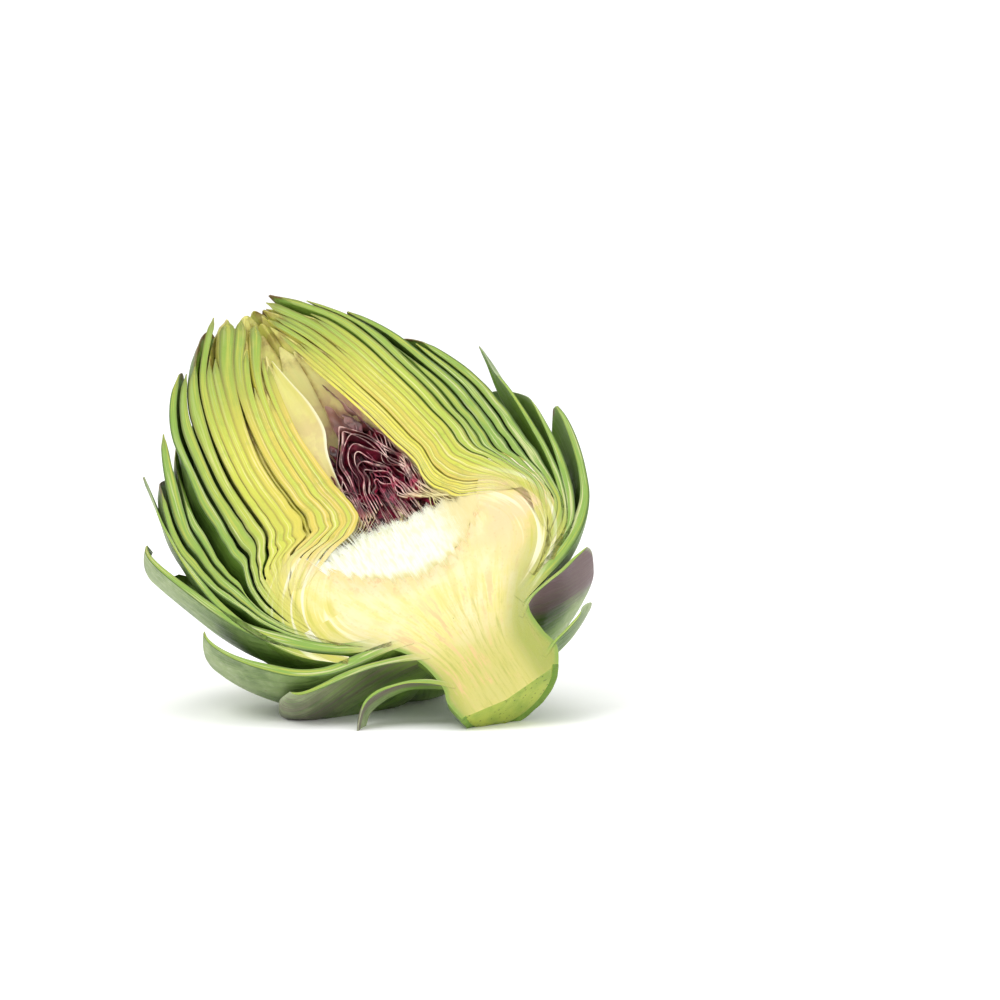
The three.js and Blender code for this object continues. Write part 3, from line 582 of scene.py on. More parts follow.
@dataclass
class Spiral:
    """The bracts of the closed head, in a golden-angle spiral, stacked from the middle outwards.

    Attributes:
        layers: the surfaces that they lie in.
        count: bracts of the whole head.
        first_green: bracts from this number outwards are green.
        facet: the turns of the middle lines are whole numbers of half this step, as in the solids.
        wrap: how much wider, and how much thinner, the yellow and the green bracts are than those of the
            solids, which are five or six facets wide.
        thinnest: thickness at a bract's margin, in millimetres.
        between_colours: extra room inside the first green bract, in millimetres.
        root: share along at which the blades start, inside the heart.
        samples: shares along, and turns, at which the whole stack is measured.
    """

    layers: Layers = field(default_factory=Layers)
    count: int = 58
    first_green: int = 33
    facet: float = math.pi / 12
    wrap: Pair = (1.7, 1.15)
    thinnest: float = 0.3
    between_colours: float = 0.3
    root: float = -0.07
    samples: int = 41

    def __post_init__(self) -> None:
        """Makes the bracts, and measures the room that the whole stack takes at shares along."""
        self.bracts = [self.bract(k) for k in range(self.count)]
        self.shares = np.linspace(0, 1, self.samples)
        turns = np.linspace(0, math.pi, self.samples)
        along, turn = np.meshgrid(self.shares, turns, indexing="ij")
        self.stack = self.room_inside(self.count, along, turn).mean(axis=1)

    def bract(self, k: int) -> Bract:
        """Bract number k: the outer ones are shorter, start to narrow sooner and stand off more.

        Args:
            k: its number, from the middle outwards.

        Returns:
            The bract.
        """
        layer = (k + 0.5) / self.count
        outer = max(0.0, (layer - 0.62) / 0.38)
        inner = max(0.0, (0.16 - layer) / 0.16)
        tip = 1 - 0.3 * outer**1.15 - 0.1 * inner + 0.01 * draw(k, 1)
        half_steps = math.floor((math.radians(20) + k * GOLDEN_TURN) / (self.facet / 2) + 0.5)
        green = k >= self.first_green
        return Bract(
            number=k,
            layer=layer,
            turn=half_steps * self.facet / 2,
            half_width=(3 - (half_steps % 2) / 2) * self.facet * self.wrap[green],
            shoulder=tip * (0.56 - 0.22 * outer + 0.04 * draw(k, 3)),
            tip=tip,
            room=(2 + 1.6 * layer) * (1 + 0.3 * draw(k, 4)) / self.wrap[green],
            filling=0.93 + 0.05 * draw(k, 5) if green else 0.985,
            flare=max(0.0, layer - 0.6) * 5,
        )

    def room_inside(self, number: int, along: Array, turn: Array) -> Array:
        """Room that the bracts inside a number take, one on the other.

        Args:
            number: the number.
            along: share along.
            turn: turn about the axis.

        Returns:
            Millimetres at each place.
        """
        room = np.full(np.broadcast(along, turn).shape, self.between_colours * (number >= self.first_green))
        for inner in self.bracts[:number]:
            room = room + inner.room_taken(along, turn)
        return room

    def faces(self, bract: Bract, along: Array, turn: Array) -> tuple[Array, Array]:
        """Layer numbers of a bract's inner and outer face.

        The middle of the blade goes smoothly from the bract's own layer at the root to the share of the
        whole stack that lies inside it. The blade thins towards its outline.

        Args:
            bract: the bract.
            along: share along.
            turn: turn about the axis.

        Returns:
            The two layer numbers.
        """
        whole = np.interp(along, self.shares, self.stack)
        cover = bract.cover(along, turn)
        inside = self.room_inside(bract.number, along, turn) + bract.stand_off(along) * cover
        middle = lerp(bract.layer, (inside + bract.room * cover / 2) / whole, smoothstep(0, 0.22, along))
        outline = np.minimum(bract.outline(along, turn), 1)
        uneven = 1 - 0.12 * (bract.number >= self.first_green) * (
            1 + ripple(along * 5, turn * 2, bract.number * 1.7, 21)
        )
        least = self.thinnest / 2 / np.maximum(self.layers.spread(middle, along, turn), 5)
        half = np.maximum(bract.filling * uneven * bract.room * cover / (2 * whole), least)
        half = lerp(half, least, smoothstep(0.9, 1, outline))
        return middle - half, middle + half

    def blade_of(self, bract: Bract, across: int, along_steps: int) -> Shell | None:
        """The part of a bract that lies in the kept half.

        The grid runs from margin to margin, and up each turn to the outline there.

        Args:
            bract: the bract.
            across: columns of the grid.
            along_steps: rows of the grid.

        Returns:
            The shell, or None where the bract hardly reaches the kept half.
        """
        middle = (bract.turn + math.pi / 2) % (2 * math.pi) - math.pi / 2
        low, high = max(middle - bract.half_width, 0.0), min(middle + bract.half_width, math.pi)
        if high - low < 0.6 * self.facet:
            return None
        turn, share = np.meshgrid(np.linspace(low, high, across), np.linspace(0, 1, along_steps))
        along = lerp(self.root, bract.top(turn), 1 - (1 - share) ** 1.2)
        inner, outer = self.faces(bract, along, turn)
        sheets = []
        for layer in (outer, inner):
            spot = self.layers.at(layer, along, turn)
            sheets.append(place(spot[..., 0], spot[..., 1], turn))
        return blade(sheets[0], sheets[1], **leaf_marks(sheets[0], turn - middle, share, bract))


def leaf_marks(sheet: Array, turned: Array, share: Array, bract: Bract) -> dict[str, Array]:
    """Marks of a bract of the closed head.

    Args:
        sheet: its outer sheet, (rows, columns, 3).
        turned: turn from its middle line.
        share: share of its own length.
        bract: the bract.

    Returns:
        leaf, growth and flush on the grid.
    """
    steps = np.linalg.norm(np.diff(sheet, axis=0, prepend=sheet[:1]), axis=2)
    length = np.cumsum(steps, axis=0)
    across = turned * np.hypot(sheet[..., 0], sheet[..., 1])
    edge = np.clip(bract.sideways(turned + bract.turn), 0, 1)
    leaf = vectors(across, length, bract.number * LEAF_STEP)
    growth = vectors(bract.layer, share, edge)
    return {"leaf": leaf, "growth": growth, "flush": np.zeros_like(share)}


# ------ loose bracts


@dataclass(frozen=True)
class LooseBract:
    """A bract that stands off the closed head, round its underside or stem.

    Attributes:
        turn: degrees about the axis of its middle line.
        line: its middle line from root to tip as [radius, height], millimetres.
        base: half the turn that it covers at its root, in degrees.
        wide: the same where it is widest.
        thick: thickness at the root, in millimetres.
        thin: thickness near the tip.
        cup: how far its near and far margins hug the head, in millimetres; the near one is at the cut.
        flush: how purple it is, from 0 to 1.
        sink: how much lower it lies a whole radius behind the cut face than in it, in millimetres.
        point: share of the length at which it starts to narrow, and the power of its rounding.
        layer: its layer mark, outside the closed head.
    """

    turn: float
    line: tuple[Pair, ...]
    base: float
    wide: float
    thick: float
    thin: float
    cup: Pair = (0.0, 0.0)
    flush: float = 0.0
    sink: float = 0.0
    point: Pair = (0.45, 0.62)
    layer: float = 1.05

    def half_width(self, share: Array) -> Array:
        """Half the turn covered: widening from the root, then narrowing to a rounded point.

        The narrowing is a power of 1 less a power of the way from its start to the tip.

        Args:
            share: share of the length.

        Returns:
            Half the turn at each share.
        """
        grown = np.radians(lerp(self.base, self.wide, smoothstep(0, 0.4, share)))
        start, power = self.point
        narrowing = np.maximum(0, (share - start) / (1 - start))
        return grown * (1 - 0.985 * narrowing**2.1) ** power

    def shell(self, number: int, across: int, along: int) -> Shell:
        """The bract as a closed blade, clipped at the cut plane.

        Each point stands off the middle line by half the thickness, square to the line, and the margins
        curl and wave a little.

        Args:
            number: its number, which seeds its waves.
            across: columns of the grid.
            along: rows of the grid.

        Returns:
            The shell.
        """
        middle = math.radians(self.turn)
        u, share = parameters(across, along)
        half = self.half_width(share)
        low, high = np.maximum(middle - half, 0), np.minimum(middle + half, math.pi)
        turn = np.where(u == 1, high, lerp(low, high, u))
        knots = np.linspace(0, 1, len(self.line))
        spot = curve(knots, self.line, share)
        ahead = curve(knots, self.line, share + 0.004) - spot
        run = ahead / np.linalg.norm(ahead, axis=-1, keepdims=True)
        edge = np.clip(np.abs(turn - middle) / half, 0, 1)
        body = lerp(self.thick, self.thin, smoothstep(0.25, 1, share))
        wave = ripple(share * 3, turn * 1.5, number * 2.3, 31)
        thickness = np.maximum(body * (1 - 0.5 * edge**2) * (1 + 0.12 * wave), 0.5)
        rounded = 1 - 0.75 * smoothstep(0.85, 1, np.maximum(edge, smoothstep(0.9, 1, share)))
        far = (middle - turn) / half * np.sign(middle - math.pi / 2)
        curl = (0.5 * wave + 0.5) * edge**3 * smoothstep(0.1, 0.5, share)
        hug = np.where(far < 0, *self.cup) * edge**2 + curl
        sunk = self.sink * np.sin(turn) * smoothstep(0, 0.3, share)
        sheets = []
        for face in (0.5, -0.5):
            offset = face * thickness * rounded
            radius = spot[..., 0] + run[..., 1] * offset - hug
            height = spot[..., 1] - run[..., 0] * offset + hug / 4 - sunk
            sheets.append(place(radius, height, turn))
        steps = np.linalg.norm(np.diff(sheets[0], axis=0, prepend=sheets[0][:1]), axis=2)
        sideways = (turn - middle) * spot[..., 0]
        leaf = vectors(sideways, np.cumsum(steps, axis=0), number * LEAF_STEP)
        growth = vectors(self.layer, share, edge)
        flush = self.flush * (1 - smoothstep(-0.4, 0.35, far))
        return blade(sheets[0], sheets[1], leaf=leaf, growth=growth, flush=flush)


LOOSE_BRACTS = (
    LooseBract(
        161,
        ((17, -7.5), (25, -4.8), (31.5, -1), (38, 4.8), (44, 11.5),
         (48.4, 19.5), (52, 28.5), (55, 37), (57.2, 44.5)),
        base=34, wide=36, thick=3.4, thin=1.4, cup=(4, 3), sink=2, point=(0.82, 0.3),
    ),
    LooseBract(
        161,
        ((12, -10), (19, -8.4), (26.5, -7.6), (33.5, -6.4), (40, -3.2),
         (45.5, 1.8), (50, 7), (53.5, 12.6), (56, 18.5)),
        base=36, wide=38, thick=2.8, thin=1, cup=(3, 2), sink=8, point=(0.66, 0.36),
    ),
    LooseBract(
        150,
        ((10.5, -15.5), (17, -12.8), (24, -10.8), (31, -9.8),
         (37.5, -9.2), (43, -8.2), (47, -5.6), (50, -1)),
        base=50, wide=40, thick=2, thin=1, cup=(2, 2), flush=0.55, sink=3,
    ),
    LooseBract(
        172,
        ((8.5, -25.4), (12, -22), (16, -19.4), (20, -17.8),
         (25, -17.1), (29.5, -17.9), (32.5, -20.5), (35, -24)),
        base=34, wide=11, thick=1.2, thin=0.7, flush=0.7,
    ),
    LooseBract(
        126,
        ((18, -8), (26, -6), (33, -2.6), (40, 3.5),
         (45, 10.5), (48.3, 19), (50, 29), (50.3, 40)),
        base=30, wide=36, thick=3, thin=1.2,
    ),
    LooseBract(
        92,
        ((12, -13), (19, -13.2), (27, -13.1), (35, -12.4),
         (42.5, -10.1), (49, -5.3), (53, 1.2), (55, 8)),
        base=44, wide=36, thick=2.2, thin=1, cup=(12, 12),
    ),
    LooseBract(
        84,
        ((20, -9.4), (27, -7.6), (34, -4.2), (40, 1.6),
         (44.6, 8.5), (47.6, 17), (49, 27), (48.6, 38)),
        base=30, wide=36, thick=3, thin=1.2,
    ),
    LooseBract(
        62,
        ((13, -16), (20, -14.2), (28, -12.4), (35, -10),
         (41.5, -5.6), (46, 0), (49, 7), (50.3, 13)),
        base=42, wide=38, thick=2, thin=1, cup=(2, 2),
    ),
    LooseBract(
        44,
        ((20, -10.6), (28, -8.4), (35, -4.6), (41, 1),
         (45, 8), (47.4, 17), (48.4, 28), (47.6, 40)),
        base=30, wide=34, thick=2.8, thin=1.2,
    ),
    LooseBract(
        24,
        ((22, -9.6), (30, -7), (36.5, -3.4), (40.8, 3), (43.4, 10),
         (45, 17), (45.6, 26), (45, 34), (43.6, 43)),
        base=30, wide=34, thick=2.8, thin=0.8,
    ),
    LooseBract(
        5,
        ((16, -13.8), (24, -10.9), (31.5, -8.2), (38, -4.6), (43.3, 0.6),
         (46.6, 7), (48.9, 14), (50.3, 21), (50.4, 26.5)),
        base=32, wide=28, thick=3.2, thin=1, point=(0.45, 0.8),
    ),
    LooseBract(
        26,
        ((14, -18), (18.5, -15), (24, -13.6), (29, -12.8),
         (33, -11.8), (37, -10.6), (41.5, -8.6)),
        base=50, wide=46, thick=1.1, thin=0.7, flush=0.95, sink=10, point=(0.3, 0.7),
    ),
    LooseBract(
        5,
        ((28, -9), (36, -2), (40.2, 7), (42, 16), (42.6, 24),
         (42.8, 31), (42.9, 38), (43.4, 44), (43.4, 50.5)),
        base=24, wide=10, thick=1.6, thin=0.6, point=(0.3, 1.1),
    ),
    LooseBract(
        174,
        ((27, -6.5), (36, 1), (42.5, 11), (46, 20.5), (47.6, 29),
         (48.2, 37.5), (47.8, 46), (46.5, 54), (45.3, 62.5)),
        base=24, wide=15, thick=1.8, thin=0.6, point=(0.3, 1.1),
    ),
    LooseBract(
        16,
        ((13.5, -29.6), (18, -27.6), (23, -26.2), (28, -24.2), (33, -21.2)),
        base=30, wide=20, thick=1.1, thin=0.8, flush=0.3,
    ),
)


# ------ heart, skin and choke


@dataclass
class Flesh:
    """The heart, the pith of the stem and the green skin round them.

    Attributes:
        left: outline in the left cut edge, from the middle of the stem's end round to the bowl's bed.
        right: the same in the right cut edge, with as many points.
        rind: thickness of the green skin, in millimetres.
        rind_end: outline point at which the skin ends.
        set_back: depth of the heart's cut face behind the bracts' cut edges, in millimetres.
        slant: how much lower the stem's end lies for each millimetre behind the cut face.
    """

    left: tuple[Pair, ...] = (
        (0, -34.4), (11.6, -33.2), (12.4, -28), (11.2, -24), (12.4, -17), (15.4, -10.8), (20, -7.4),
        (25.5, -4.8), (30.5, -0.6), (34.6, 6), (36.2, 13), (34.6, 20.4), (29, 24.6), (24.2, 23),
        (19.6, 17.4), (13.5, 10.9), (7, 6.3), (0, 3.6),
    )
    right: tuple[Pair, ...] = (
        (0, -34.4), (15.4, -33), (17.6, -28.5), (16.6, -23.5), (16.8, -17.5), (20, -13), (25, -10.6),
        (31, -7.8), (35.6, -2.8), (38, 3.5), (38, 10.4), (35.8, 17.8), (31, 22), (25.6, 20),
        (20.4, 14), (15.5, 8.6), (8, 4.8), (0, 3.6),
    )
    rind: float = 1.5
    rind_end: float = 10.2
    set_back: float = 0.08
    slant: float = 0.24

    def outline(self, line: tuple[Pair, ...], t: Array, inset: Array) -> Array:
        """The outline at point numbers t, moved inwards.

        The side moves square to its own run, and the stem's end face only gets smaller.

        Args:
            line: left or right.
            t: point numbers, which may be fractions.
            inset: how far inwards at each of them, in millimetres.

        Returns:
            [radius, height] points.
        """
        knots = np.arange(len(line) - 1)
        smooth = curve(knots + 1, line[1:], t)
        flat = lerp(np.array(line[0]), np.array(line[1]), np.minimum(t, 1)[:, None])
        points = np.where((t < 1)[:, None], flat, smooth)
        end, side = t < 1, t >= 1
        run = np.gradient(points[side], axis=0)
        run /= np.linalg.norm(run, axis=1, keepdims=True)
        moved = points.copy()
        moved[side] += np.stack([-run[:, 1], run[:, 0]], -1) * inset[side, None]
        moved[end, 0] *= 1 - inset[end] / line[1][0]
        moved[:, 0] = np.where(points[:, 0] <= 0, 0, np.maximum(moved[:, 0], 0))
        return moved

    def heart(self) -> Shell:
        """The heart with the bowl of the choke, a little behind the bracts' cut edges.

        Returns:
            The shell, inside the green skin up to the skin's end.
        """
        last = len(self.left) - 1
        t = np.concatenate([np.linspace(0, 0.93, 8), np.linspace(1, last, 150)])
        inset = (self.rind - 0.1) * (1 - smoothstep(self.rind_end - 0.7, self.rind_end + 0.5, t))
        left, right = self.outline(self.left, t, inset), self.outline(self.right, t, inset)
        left[[0, -1], 0] = right[[0, -1], 0] = 0
        return self.slanted(half_turn(left, right, 60, self.set_back))

    def slanted(self, shell: Shell) -> Shell:
        """Draws the stem's end down in proportion to the depth, fading out up the stem.

        Args:
            shell: heart or skin.

        Returns:
            The same shell.
        """
        points = shell.points
        points[:, 2] -= self.slant * points[:, 1] * smoothstep(-27, -33, points[:, 2])
        return shell

    def skin(self) -> Shell:
        """The green skin of the stem and of the head's underside, between the outline and its inset.

        Returns:
            The shell, which thins out at the skin's end.
        """
        t, turn = np.linspace(1, self.rind_end, 90), np.linspace(0, math.pi, 61)
        share = right_share(turn)[None, :, None]
        one = np.ones((len(t), len(turn)))
        thinning = 1 - 0.9 * smoothstep(self.rind_end - 1.5, self.rind_end, t)
        sheets = []
        for depth in (0.0, 1.0):
            inset = np.full_like(t, depth) * self.rind * thinning
            left, right = self.outline(self.left, t, inset), self.outline(self.right, t, inset)
            spot = lerp(left[:, None], right[:, None], share)
            rough = 0.18 * (1 - depth) * ripple(t[:, None] * 0.4, turn[None] * 5, 0 * one, 41)
            sheets.append(place(spot[..., 0] + rough, spot[..., 1], turn * one))
        stem = 1 - smoothstep(5, 7, t)[:, None] * one
        growth = vectors(0.9, 0.15 * stem, RIND)
        leaf = vectors(turn[None] * 14, t[:, None] * 5, 99)
        marks = {"leaf": leaf, "growth": growth, "flush": 0 * one}
        return self.slanted(blade(sheets[0], sheets[1], self.set_back / 2, **marks))


@dataclass
class Choke:
    """The bed of white hairs in the heart's bowl.

    Attributes:
        left: outline of its body in the left cut edge, from the axis round to the axis again.
        right: the same in the right cut edge.
        hairs: how many hairs show above the body and at its cut face.
        radius: how far from the axis they reach, in millimetres.
        width: radius of one hair, in millimetres.
        recess: depth of the body behind the cut face, in millimetres.
    """

    left: tuple[Pair, ...] = (
        (0, 3.7), (7, 6.4), (13.4, 11), (19, 17), (17.2, 17.9), (12, 18.4), (6, 18.6), (0, 18),
    )
    right: tuple[Pair, ...] = (
        (0, 3.7), (8, 4.9), (15.4, 8.8), (19.9, 13.8), (18.4, 15.3), (12, 16.6), (5, 17.2), (0, 18),
    )
    hairs: int = 9000
    radius: float = 20.2
    width: float = 0.14
    recess: float = 0.2

    def body(self) -> Shell:
        """The dense mass behind the hairs.

        Returns:
            The shell.
        """
        t = np.linspace(0, len(self.left) - 1, 60)
        knots = np.arange(len(self.left))
        left, right = curve(knots, self.left, t), curve(knots, self.right, t)
        left[[0, -1], 0] = right[[0, -1], 0] = 0
        return half_turn(left, right, 40, self.recess)

    def level(self, radius: Array, turn: Array, first: int, last: int) -> Array:
        """Height of a stretch of the outline, from straight lines between its points.

        Args:
            radius: how far from the axis.
            turn: turn about the axis.
            first: number of the stretch's first point.
            last: number of the point after its last.

        Returns:
            The height at each place.
        """
        heights = []
        for line in (self.left, self.right):
            part = sorted(line[first:last])
            heights.append(np.interp(radius, [p[0] for p in part], [p[1] for p in part]))
        return lerp(heights[0], heights[1], right_share(turn))

    def bristles(self) -> Shell:
        """The hairs, thickest at the cut face.

        A hair stands on the bowl's bed and leans outwards a little. Tufts of neighbours end at like
        heights, from a slow ripple, and each hair has its own draw. A few on the left are long wisps.

        Returns:
            The shell.
        """
        rng = np.random.default_rng(5)
        count = self.hairs
        front = rng.random(count) < 0.6
        side = rng.uniform(-1, 1, count)
        x = side * self.radius
        deepest = np.sqrt(np.maximum(self.radius**2 - x**2, 0.01))
        y = np.where(front, rng.uniform(0.02, 0.6, count), rng.uniform(0.05, 1, count) ** 0.7 * deepest)
        y = np.minimum(y, np.maximum(deepest, 0.31))
        radius, turn = np.hypot(x, y), np.arctan2(y, x)
        tuft = ripple(x * 0.55, y * 0.3, np.zeros(count), 51)
        sunk = np.where(y < 0.5, np.abs(rng.normal(0, 0.8, count)) + 1.1 * tuft, 0)
        bed = self.level(radius, turn, 0, 4) - 0.2 - np.maximum(sunk, 0)
        top = self.level(radius, turn, 4, 8)
        wisp = (rng.random(count) < 0.08) * rng.uniform(1, 4, count) * smoothstep(2, -6, x)
        top = top + 0.9 * tuft + rng.normal(0.4, 0.5, count) + wisp
        outwards = 0.05 * x + rng.normal(0, 0.5, count) - 0.6 * wisp
        lean = vectors(outwards, rng.normal(0, 0.16, count), 0)
        share = np.linspace(0, 1, 4)[None, :, None]
        root = vectors(x, y, bed)[:, None]
        tip = vectors(x, y, np.maximum(top, bed + 1))[:, None] + lean[:, None]
        sway = np.sin(share * math.pi) * rng.normal(0, 0.2, (count, 1, 3)) * np.array([1, 0.4, 0])
        spine = lerp(root, tip, share) + sway
        spine[..., 1] = np.maximum(spine[..., 1], self.width * 0.6)
        thick = self.width * np.array([0.5, 1.0, 0.8, 0.2]) * rng.uniform(0.7, 1.1, (count, 1))
        leaf = vectors(rng.uniform(0, 1, count), rng.uniform(0, 1, count), np.arange(count) * 0.37)
        return hairs(spine, thick, 3, leaf=leaf)


@dataclass
class PurpleBracts:
    """The smallest bracts, folded over the choke, with the curly threads among them.

    Attributes:
        layers: the head's family of surfaces, which runs on inwards of layer 0.
        leaves: broad bracts that line the cavity, the outermost first.
        ribbons: thin bracts cut on edge, along the right and along the left wall of the cavity.
        arches: thin bracts cut on edge that arch over the choke, one inside the other.
        leaflets: small curled bracts inside them.
        threads: thin curly threads.
        back: how near the broad bracts come to the cut face, in millimetres.
        least_depth: how near the others come to it.
        arch_line: line of the outermost arch as [x, z], from the left wall over to the bowl's right rim.
        veil_wall: line of the veil's root under the left wall, as [x, z], from the bowl upwards.
        veil_margin: line of its free margin, with as many points.
    """

    layers: Layers
    leaves: int = 9
    ribbons: tuple[int, int] = (9, 5)
    arches: int = 9
    leaflets: int = 14
    threads: int = 110
    back: float = 2.6
    least_depth: float = 0.25
    arch_line: tuple[Pair, ...] = (
        (-5.5, 22), (-4.6, 32), (-2.4, 40), (1.8, 48), (6.4, 43), (10.2, 35), (11.6, 27), (13, 21.4),
        (18.6, 17),
    )
    veil_wall: tuple[Pair, ...] = (
        (-11, 24), (-10, 32), (-10, 40), (-10, 48), (-9.6, 55), (-9, 61), (-6.4, 67), (-3.6, 72),
    )
    veil_margin: tuple[Pair, ...] = (
        (-5.8, 22), (-5.6, 30), (-5, 38), (-3.8, 44), (-1.4, 50), (-0.6, 56.5), (-1.8, 64), (-3, 72),
    )

    def leaf(self, n: int) -> Shell:
        """Broad bract number n: a blade on a layer inside the head's innermost one, crumpled by ripples.

        Args:
            n: its number, from the outermost inwards.

        Returns:
            The shell.
        """
        middle = (0.5 + n * 2.39996) % (1.25 * math.pi) - 0.12 * math.pi
        half = math.radians(38 - 1.5 * n)
        low, high = max(middle - half, 0.02), min(middle + half, math.pi - 0.02)
        u, share = parameters(26, 40)
        turn = lerp(low, high, u)
        sideways = np.minimum(np.abs(turn - middle) / half, 1)
        top = 0.2 + (0.6 - 0.035 * n + 0.03 * draw(n, 61)) * (1 - sideways**2.2) ** 0.6
        along = lerp(0.17, top, share)
        layer = -0.012 - 0.021 * n
        crumple = 0.55 * ripple(along * 14, turn * 2.4, n * 1.9, 62) * smoothstep(0, 0.3, share)
        sheets = []
        for face in (0.2, -0.2):
            spot = self.layers.at(layer, along, turn)
            radius = np.maximum(spot[..., 0] + crumple + face * (1 - 0.7 * share), 0.4)
            points = place(radius, spot[..., 1], turn)
            points[..., 1] = np.maximum(points[..., 1], self.back)
            sheets.append(points)
        return self.purple_blade(sheets, share, 0 * sideways, n)

    def ribbon(self, n: int, left: bool) -> Shell:
        """Thin bract number n from a wall of the cavity inwards, whose pale front edge shows.

        Its line runs on a layer inside the head's innermost one, with waves that grow inwards and upwards
        and are alike for neighbours: a ripple of the share along and of n / 4.

        Args:
            n: its number, from the wall inwards.
            left: whether it lies along the left wall.

        Returns:
            The shell.
        """
        reach = math.radians(48)
        u, share = np.meshgrid(np.linspace(0, 1, 14) ** 1.5, np.linspace(0, 1, 60))
        turn = math.pi - u * reach if left else u * reach
        top = 0.6 - 0.015 * n + 0.06 * draw(n, 64) if not left else 0.5 - 0.03 * n + 0.06 * draw(n, 65)
        along = lerp(0.05 + 0.05 * left, top, share)
        layer = -0.017 * (n + 0.6)
        grow = smoothstep(0.1, 0.75, share) * (0.4 + 0.12 * n)
        phase = n * 0.3 + 7 * left
        waves = grow * ripple(along * 13, turn * 1.5, phase, 66)
        lift = 0.8 * grow * ripple(along * 9, turn * 1.5, phase, 67)
        start = self.least_depth + 0.5 + 0.45 * draw(n, 68 + left)
        sheets = []
        for face in (0.1, -0.1):
            spot = self.layers.at(layer, along, turn)
            radius = np.maximum(spot[..., 0] + waves + face * (1 - 0.5 * share), 0.4)
            points = place(radius, spot[..., 1] + lift, turn)
            points[..., 1] = points[..., 1] + start
            sheets.append(points)
        return self.purple_blade(sheets, share, 1 - smoothstep(0.0, 0.09, u), n + 40)

    def arch(self, n: int) -> Shell:
        """Thin bract number n, whose pale front edge arches over the choke.

        Its line is the outermost arch drawn in towards a point above the choke, with waves that are alike
        for neighbours. It runs straight back from the cut face.

        Args:
            n: its number, from the outermost inwards.

        Returns:
            The shell.
        """
        u, share = parameters(6, 90)
        knots = np.linspace(0, 1, len(self.arch_line))
        middle = np.array([2.6, 24.5 + 0.12 * n])
        spot = lerp(middle, curve(knots, self.arch_line, share), 1 - 0.092 * n)
        loose = smoothstep(0, 0.3, share) * (1 - smoothstep(0.75, 1, share)) * (1.1 - 0.06 * n)
        waves = [ripple(share * 5, n * 0.42 + k, u * 0.7, 76 + k) for k in (0, 1)]
        spot = spot + np.stack(waves, -1) * loose[..., None]
        run = np.gradient(spot, axis=0)
        run /= np.linalg.norm(run, axis=-1, keepdims=True)
        depth = self.least_depth + 0.35 + 0.3 * draw(n, 78) + 3.4 * u
        sheets = []
        thick = 0.09 + 0.05 * ripple(share * 6, u, n * 1.7, 79)
        for face in (1, -1):
            x, z = spot[..., 0] + run[..., 1] * face * thick, spot[..., 1] - run[..., 0] * face * thick
            sheets.append(vectors(x, depth, z))
        return self.purple_blade(sheets, share, 1 - smoothstep(0.0, 0.12, u), n + 80)

    def leaflet(self, n: int) -> Shell:
        """Small curled bract number n, from the choke's top upwards, its tip bent over towards the middle.

        Its middle line is a quarter of an arc from its root. Its width falls to a point.

        Args:
            n: its number; the leaflets are spread over the choke by fractions of its multiples.

        Returns:
            The shell.
        """
        turn = math.radians(10 + 160 * ((n * 0.618) % 1))
        radius = 1.5 + 6.2 * math.sqrt((n * 0.754) % 1)
        foot = 19 + 24 * ((n * 0.389) % 1) ** 1.3
        radius *= 1 - 0.017 * (foot - 19)
        length, width = 12 + 3 * draw(n, 71), 2.6 + 0.8 * draw(n, 72)
        u, share = parameters(9, 16, -1.0)
        wide = width * (1 - share**1.8) ** 0.8 + 0.05
        bend = (0.7 + 0.5 * draw(n, 73)) * share**2.2
        out = radius * (1 + 0.25 * share) + 1.2 * share - 3.2 * bend + 0.35 * (1 - u**2) * 2
        rise = foot + length * (share - 0.25 * bend * share)
        twist = turn + 0.25 * draw(n, 74) * share
        wave = 0.8 * ripple(share * 3, u * 0.6, n * 3.1, 75)
        sheets = []
        for face in (0.16, -0.16):
            at = out + wave + face * (1 - 0.6 * share)
            x = at * np.cos(twist) - u * wide * 0.5 * np.sin(twist) + 1.5
            y = at * np.sin(twist) + u * wide * 0.5 * np.cos(twist)
            nearest = 2.8 + 0.06 * (n % 5) + 0.1 * (face > 0)
            sheets.append(vectors(x, np.maximum(y, nearest), rise))
        return self.purple_blade(sheets, share, 0.45 * np.abs(u), n + 20)

    def veil(self) -> Shell:
        """The innermost yellow bract at the cavity's left wall, thin and pale, whose face shows.

        It is spanned between a line under the wall and its free margin, and lies a little behind the cut,
        bowed back in its middle by a sine.

        Returns:
            The shell, with the marks of a yellow bract.
        """
        u, share = parameters(16, 60)
        knots = np.linspace(0, 1, len(self.veil_wall))
        wall, margin = curve(knots, self.veil_wall, share), curve(knots, self.veil_margin, share)
        spot = lerp(wall, margin, u[..., None])
        waves = ripple(share * 7, u * 1.2, 0 * u, 58)
        x, depth = spot[..., 0] + 0.3 * waves * u, 1.1 + 1.2 * np.sin(u * math.pi) + 0.35 * waves
        sheets = [vectors(x, depth + face, spot[..., 1]) for face in (0.15, -0.15)]
        leaf = vectors(u * 6, share * 50, 3)
        growth = vectors(0.09, 0.1 + 0.5 * share, FREE_MARGIN * u)
        return blade(sheets[0], sheets[1], leaf=leaf, growth=growth, flush=0 * u)

    def purple_blade(self, sheets: list[Array], share: Array, edge: Array, number: int) -> Shell:
        """A blade with the marks of a purple bract.

        Args:
            sheets: its outer and inner sheet.
            share: share of its own length on their grid.
            edge: 0 on its face to 1 at its pale cut edge.
            number: its number, which picks its fibres and flush.

        Returns:
            The shell, all in the skin's slot.
        """
        full = np.full_like(share, float(number))
        leaf = vectors(edge * 3, share * 12, full * LEAF_STEP)
        growth = vectors(0, share, edge)
        shell = blade(sheets[0], sheets[1], leaf=leaf, growth=growth, flush=0.5 + 0.5 * np.sin(full * 12.9))
        shell.slots[:] = Side.SKIN.value
        return shell

